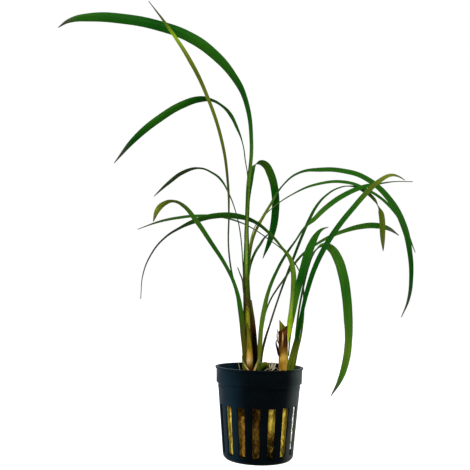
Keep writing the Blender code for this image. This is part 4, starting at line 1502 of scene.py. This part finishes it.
# %% [markdown]
# The heart is green and darker at its rim. The wrap is gold at its foot, rusty higher up
# and black round the back and at its torn edge. Both are old leaf, so both take the dry
# finish, each with its own colours.

# %% Finish the stub
heart_flesh = dry_finish("heart_flesh", "moss 0 moss .5 moss .8 stem 1", "umber", (0.32, 0.5))
hand_over(heart, "brown_sheath", heart_flesh)
torn_wrap = dry_finish("torn_wrap", "gold 0 gold .36 straw .46 rust .58 bark .72 rust .86 bark 1",
                       "soot", (0.24, 0.44), veins=30.0, wear=0.75, edge_from=(0.36, 0.58))
hand_over(wrap, "brown_sheath", torn_wrap, "brown_stub_sheath")

# %% [markdown]
# ## The loose rootlets
# A few white rootlets hang over the front of the wool between the tufts. They are thin
# threads with no map to follow, so a curve with a round bevel is the quickest way. It is
# made a mesh at the end, because a bevelled curve can't be handed over as it is.

# %% Draw the rootlets
# radius, then places across, back and up, in millimetres
ROOTLETS = [
    (0.22, [(5.2, -6.5, 53.6), (5.7, -7.2, 51.6), (6.2, -7.6, 49.6), (6.7, -7.4, 51.2), (7.1, -7, 53.0),
            (7.5, -7.4, 51.2), (8.0, -7.8, 49.2), (8.6, -7.4, 51), (9.3, -6.8, 53.2)]),
    (0.14, [(9.4, -4, 57.6), (8.9, -5, 55.2), (8.3, -6, 52.4), (7.9, -6.6, 49.5)]),
    (0.14, [(-12.6, -4, 56), (-12.0, -5, 53), (-11.2, -6, 50), (-10.6, -6.6, 48)]),
    (0.16, [(3.2, -8.6, 48.6), (4.8, -9.4, 49.6), (6.8, -9.2, 48.8), (9.0, -8.6, 50.2), (10.6, -7.6, 49)]),
]


def draw_thread(points, radius):
    curve = bpy.data.curves.new("rootlet", "CURVE")
    curve.dimensions = "3D"
    curve.bevel_depth = radius * MM
    curve.bevel_resolution = 1
    curve.resolution_u = 5
    curve.use_fill_caps = True
    spline = curve.splines.new("BEZIER")
    spline.bezier_points.add(len(points) - 1)
    for knot, place in zip(spline.bezier_points, points):
        knot.co = [value * MM for value in place]
        knot.handle_left_type = "AUTO"
        knot.handle_right_type = "AUTO"
    thread = bpy.data.objects.new("rootlet", curve)
    bpy.context.scene.collection.objects.link(thread)
    return thread


deselect_all()
threads = [draw_thread(points, radius) for radius, points in ROOTLETS]
for thread in threads:
    thread.select_set(True)
bpy.context.view_layer.objects.active = threads[0]
bpy.ops.object.convert(target="MESH")
bpy.ops.object.join()
rootlets = bpy.context.object
rootlets.name = "white_rootlets"
close_up(rootlets, 60)
print(len(threads), "rootlets")

# %% Finish the rootlets
ROOTLET_WHITE = ((0.62, 0.56, 0.42), (0.30, 0.24, 0.12))
material, tree, shader = new_finish("rootlet_white", 0.6, 0.2)
spots = use_group(tree, mottling, Place=object_place(tree), Patch_Scale=500.0, Grain_Scale=2500.0)
paint(tree, shader, blend(tree, spots["Patches"], *ROOTLET_WHITE),
      soft_step(tree, spots["Grain"], 0.0, 1.0, 0.5, 0.8))
hand_over(rootlets, "root_crown", material)

# %% [markdown]
# ## The paper under the plant
# The photograph's ground is pure white, with no shadow or edge to be seen. A wide sheet
# does it: it glows where the camera looks at it, as a light table does, and lights the
# plant only with what it sends back from the lamps.

# %% Lay the floor
FLOOR_SIDE = 6
PAPER_GREY = (0.60, 0.60, 0.60, 1)
bpy.ops.mesh.primitive_plane_add(size=FLOOR_SIDE, location=(0, 0, 0))
floor = bpy.context.object
floor.name = "pale_floor"
material, tree, shader = new_finish("pale_paper", 0.9, 0.1)
shader.inputs["Base Color"].default_value = PAPER_GREY
shader.inputs["Emission Color"].default_value = (1, 1, 1, 1)
seen_directly = tree.nodes.new("ShaderNodeLightPath").outputs["Is Camera Ray"]
tree.links.new(seen_directly, shader.inputs["Emission Strength"])
floor.data.materials.append(material)
print("floor", round(floor.dimensions.x), "m wide")
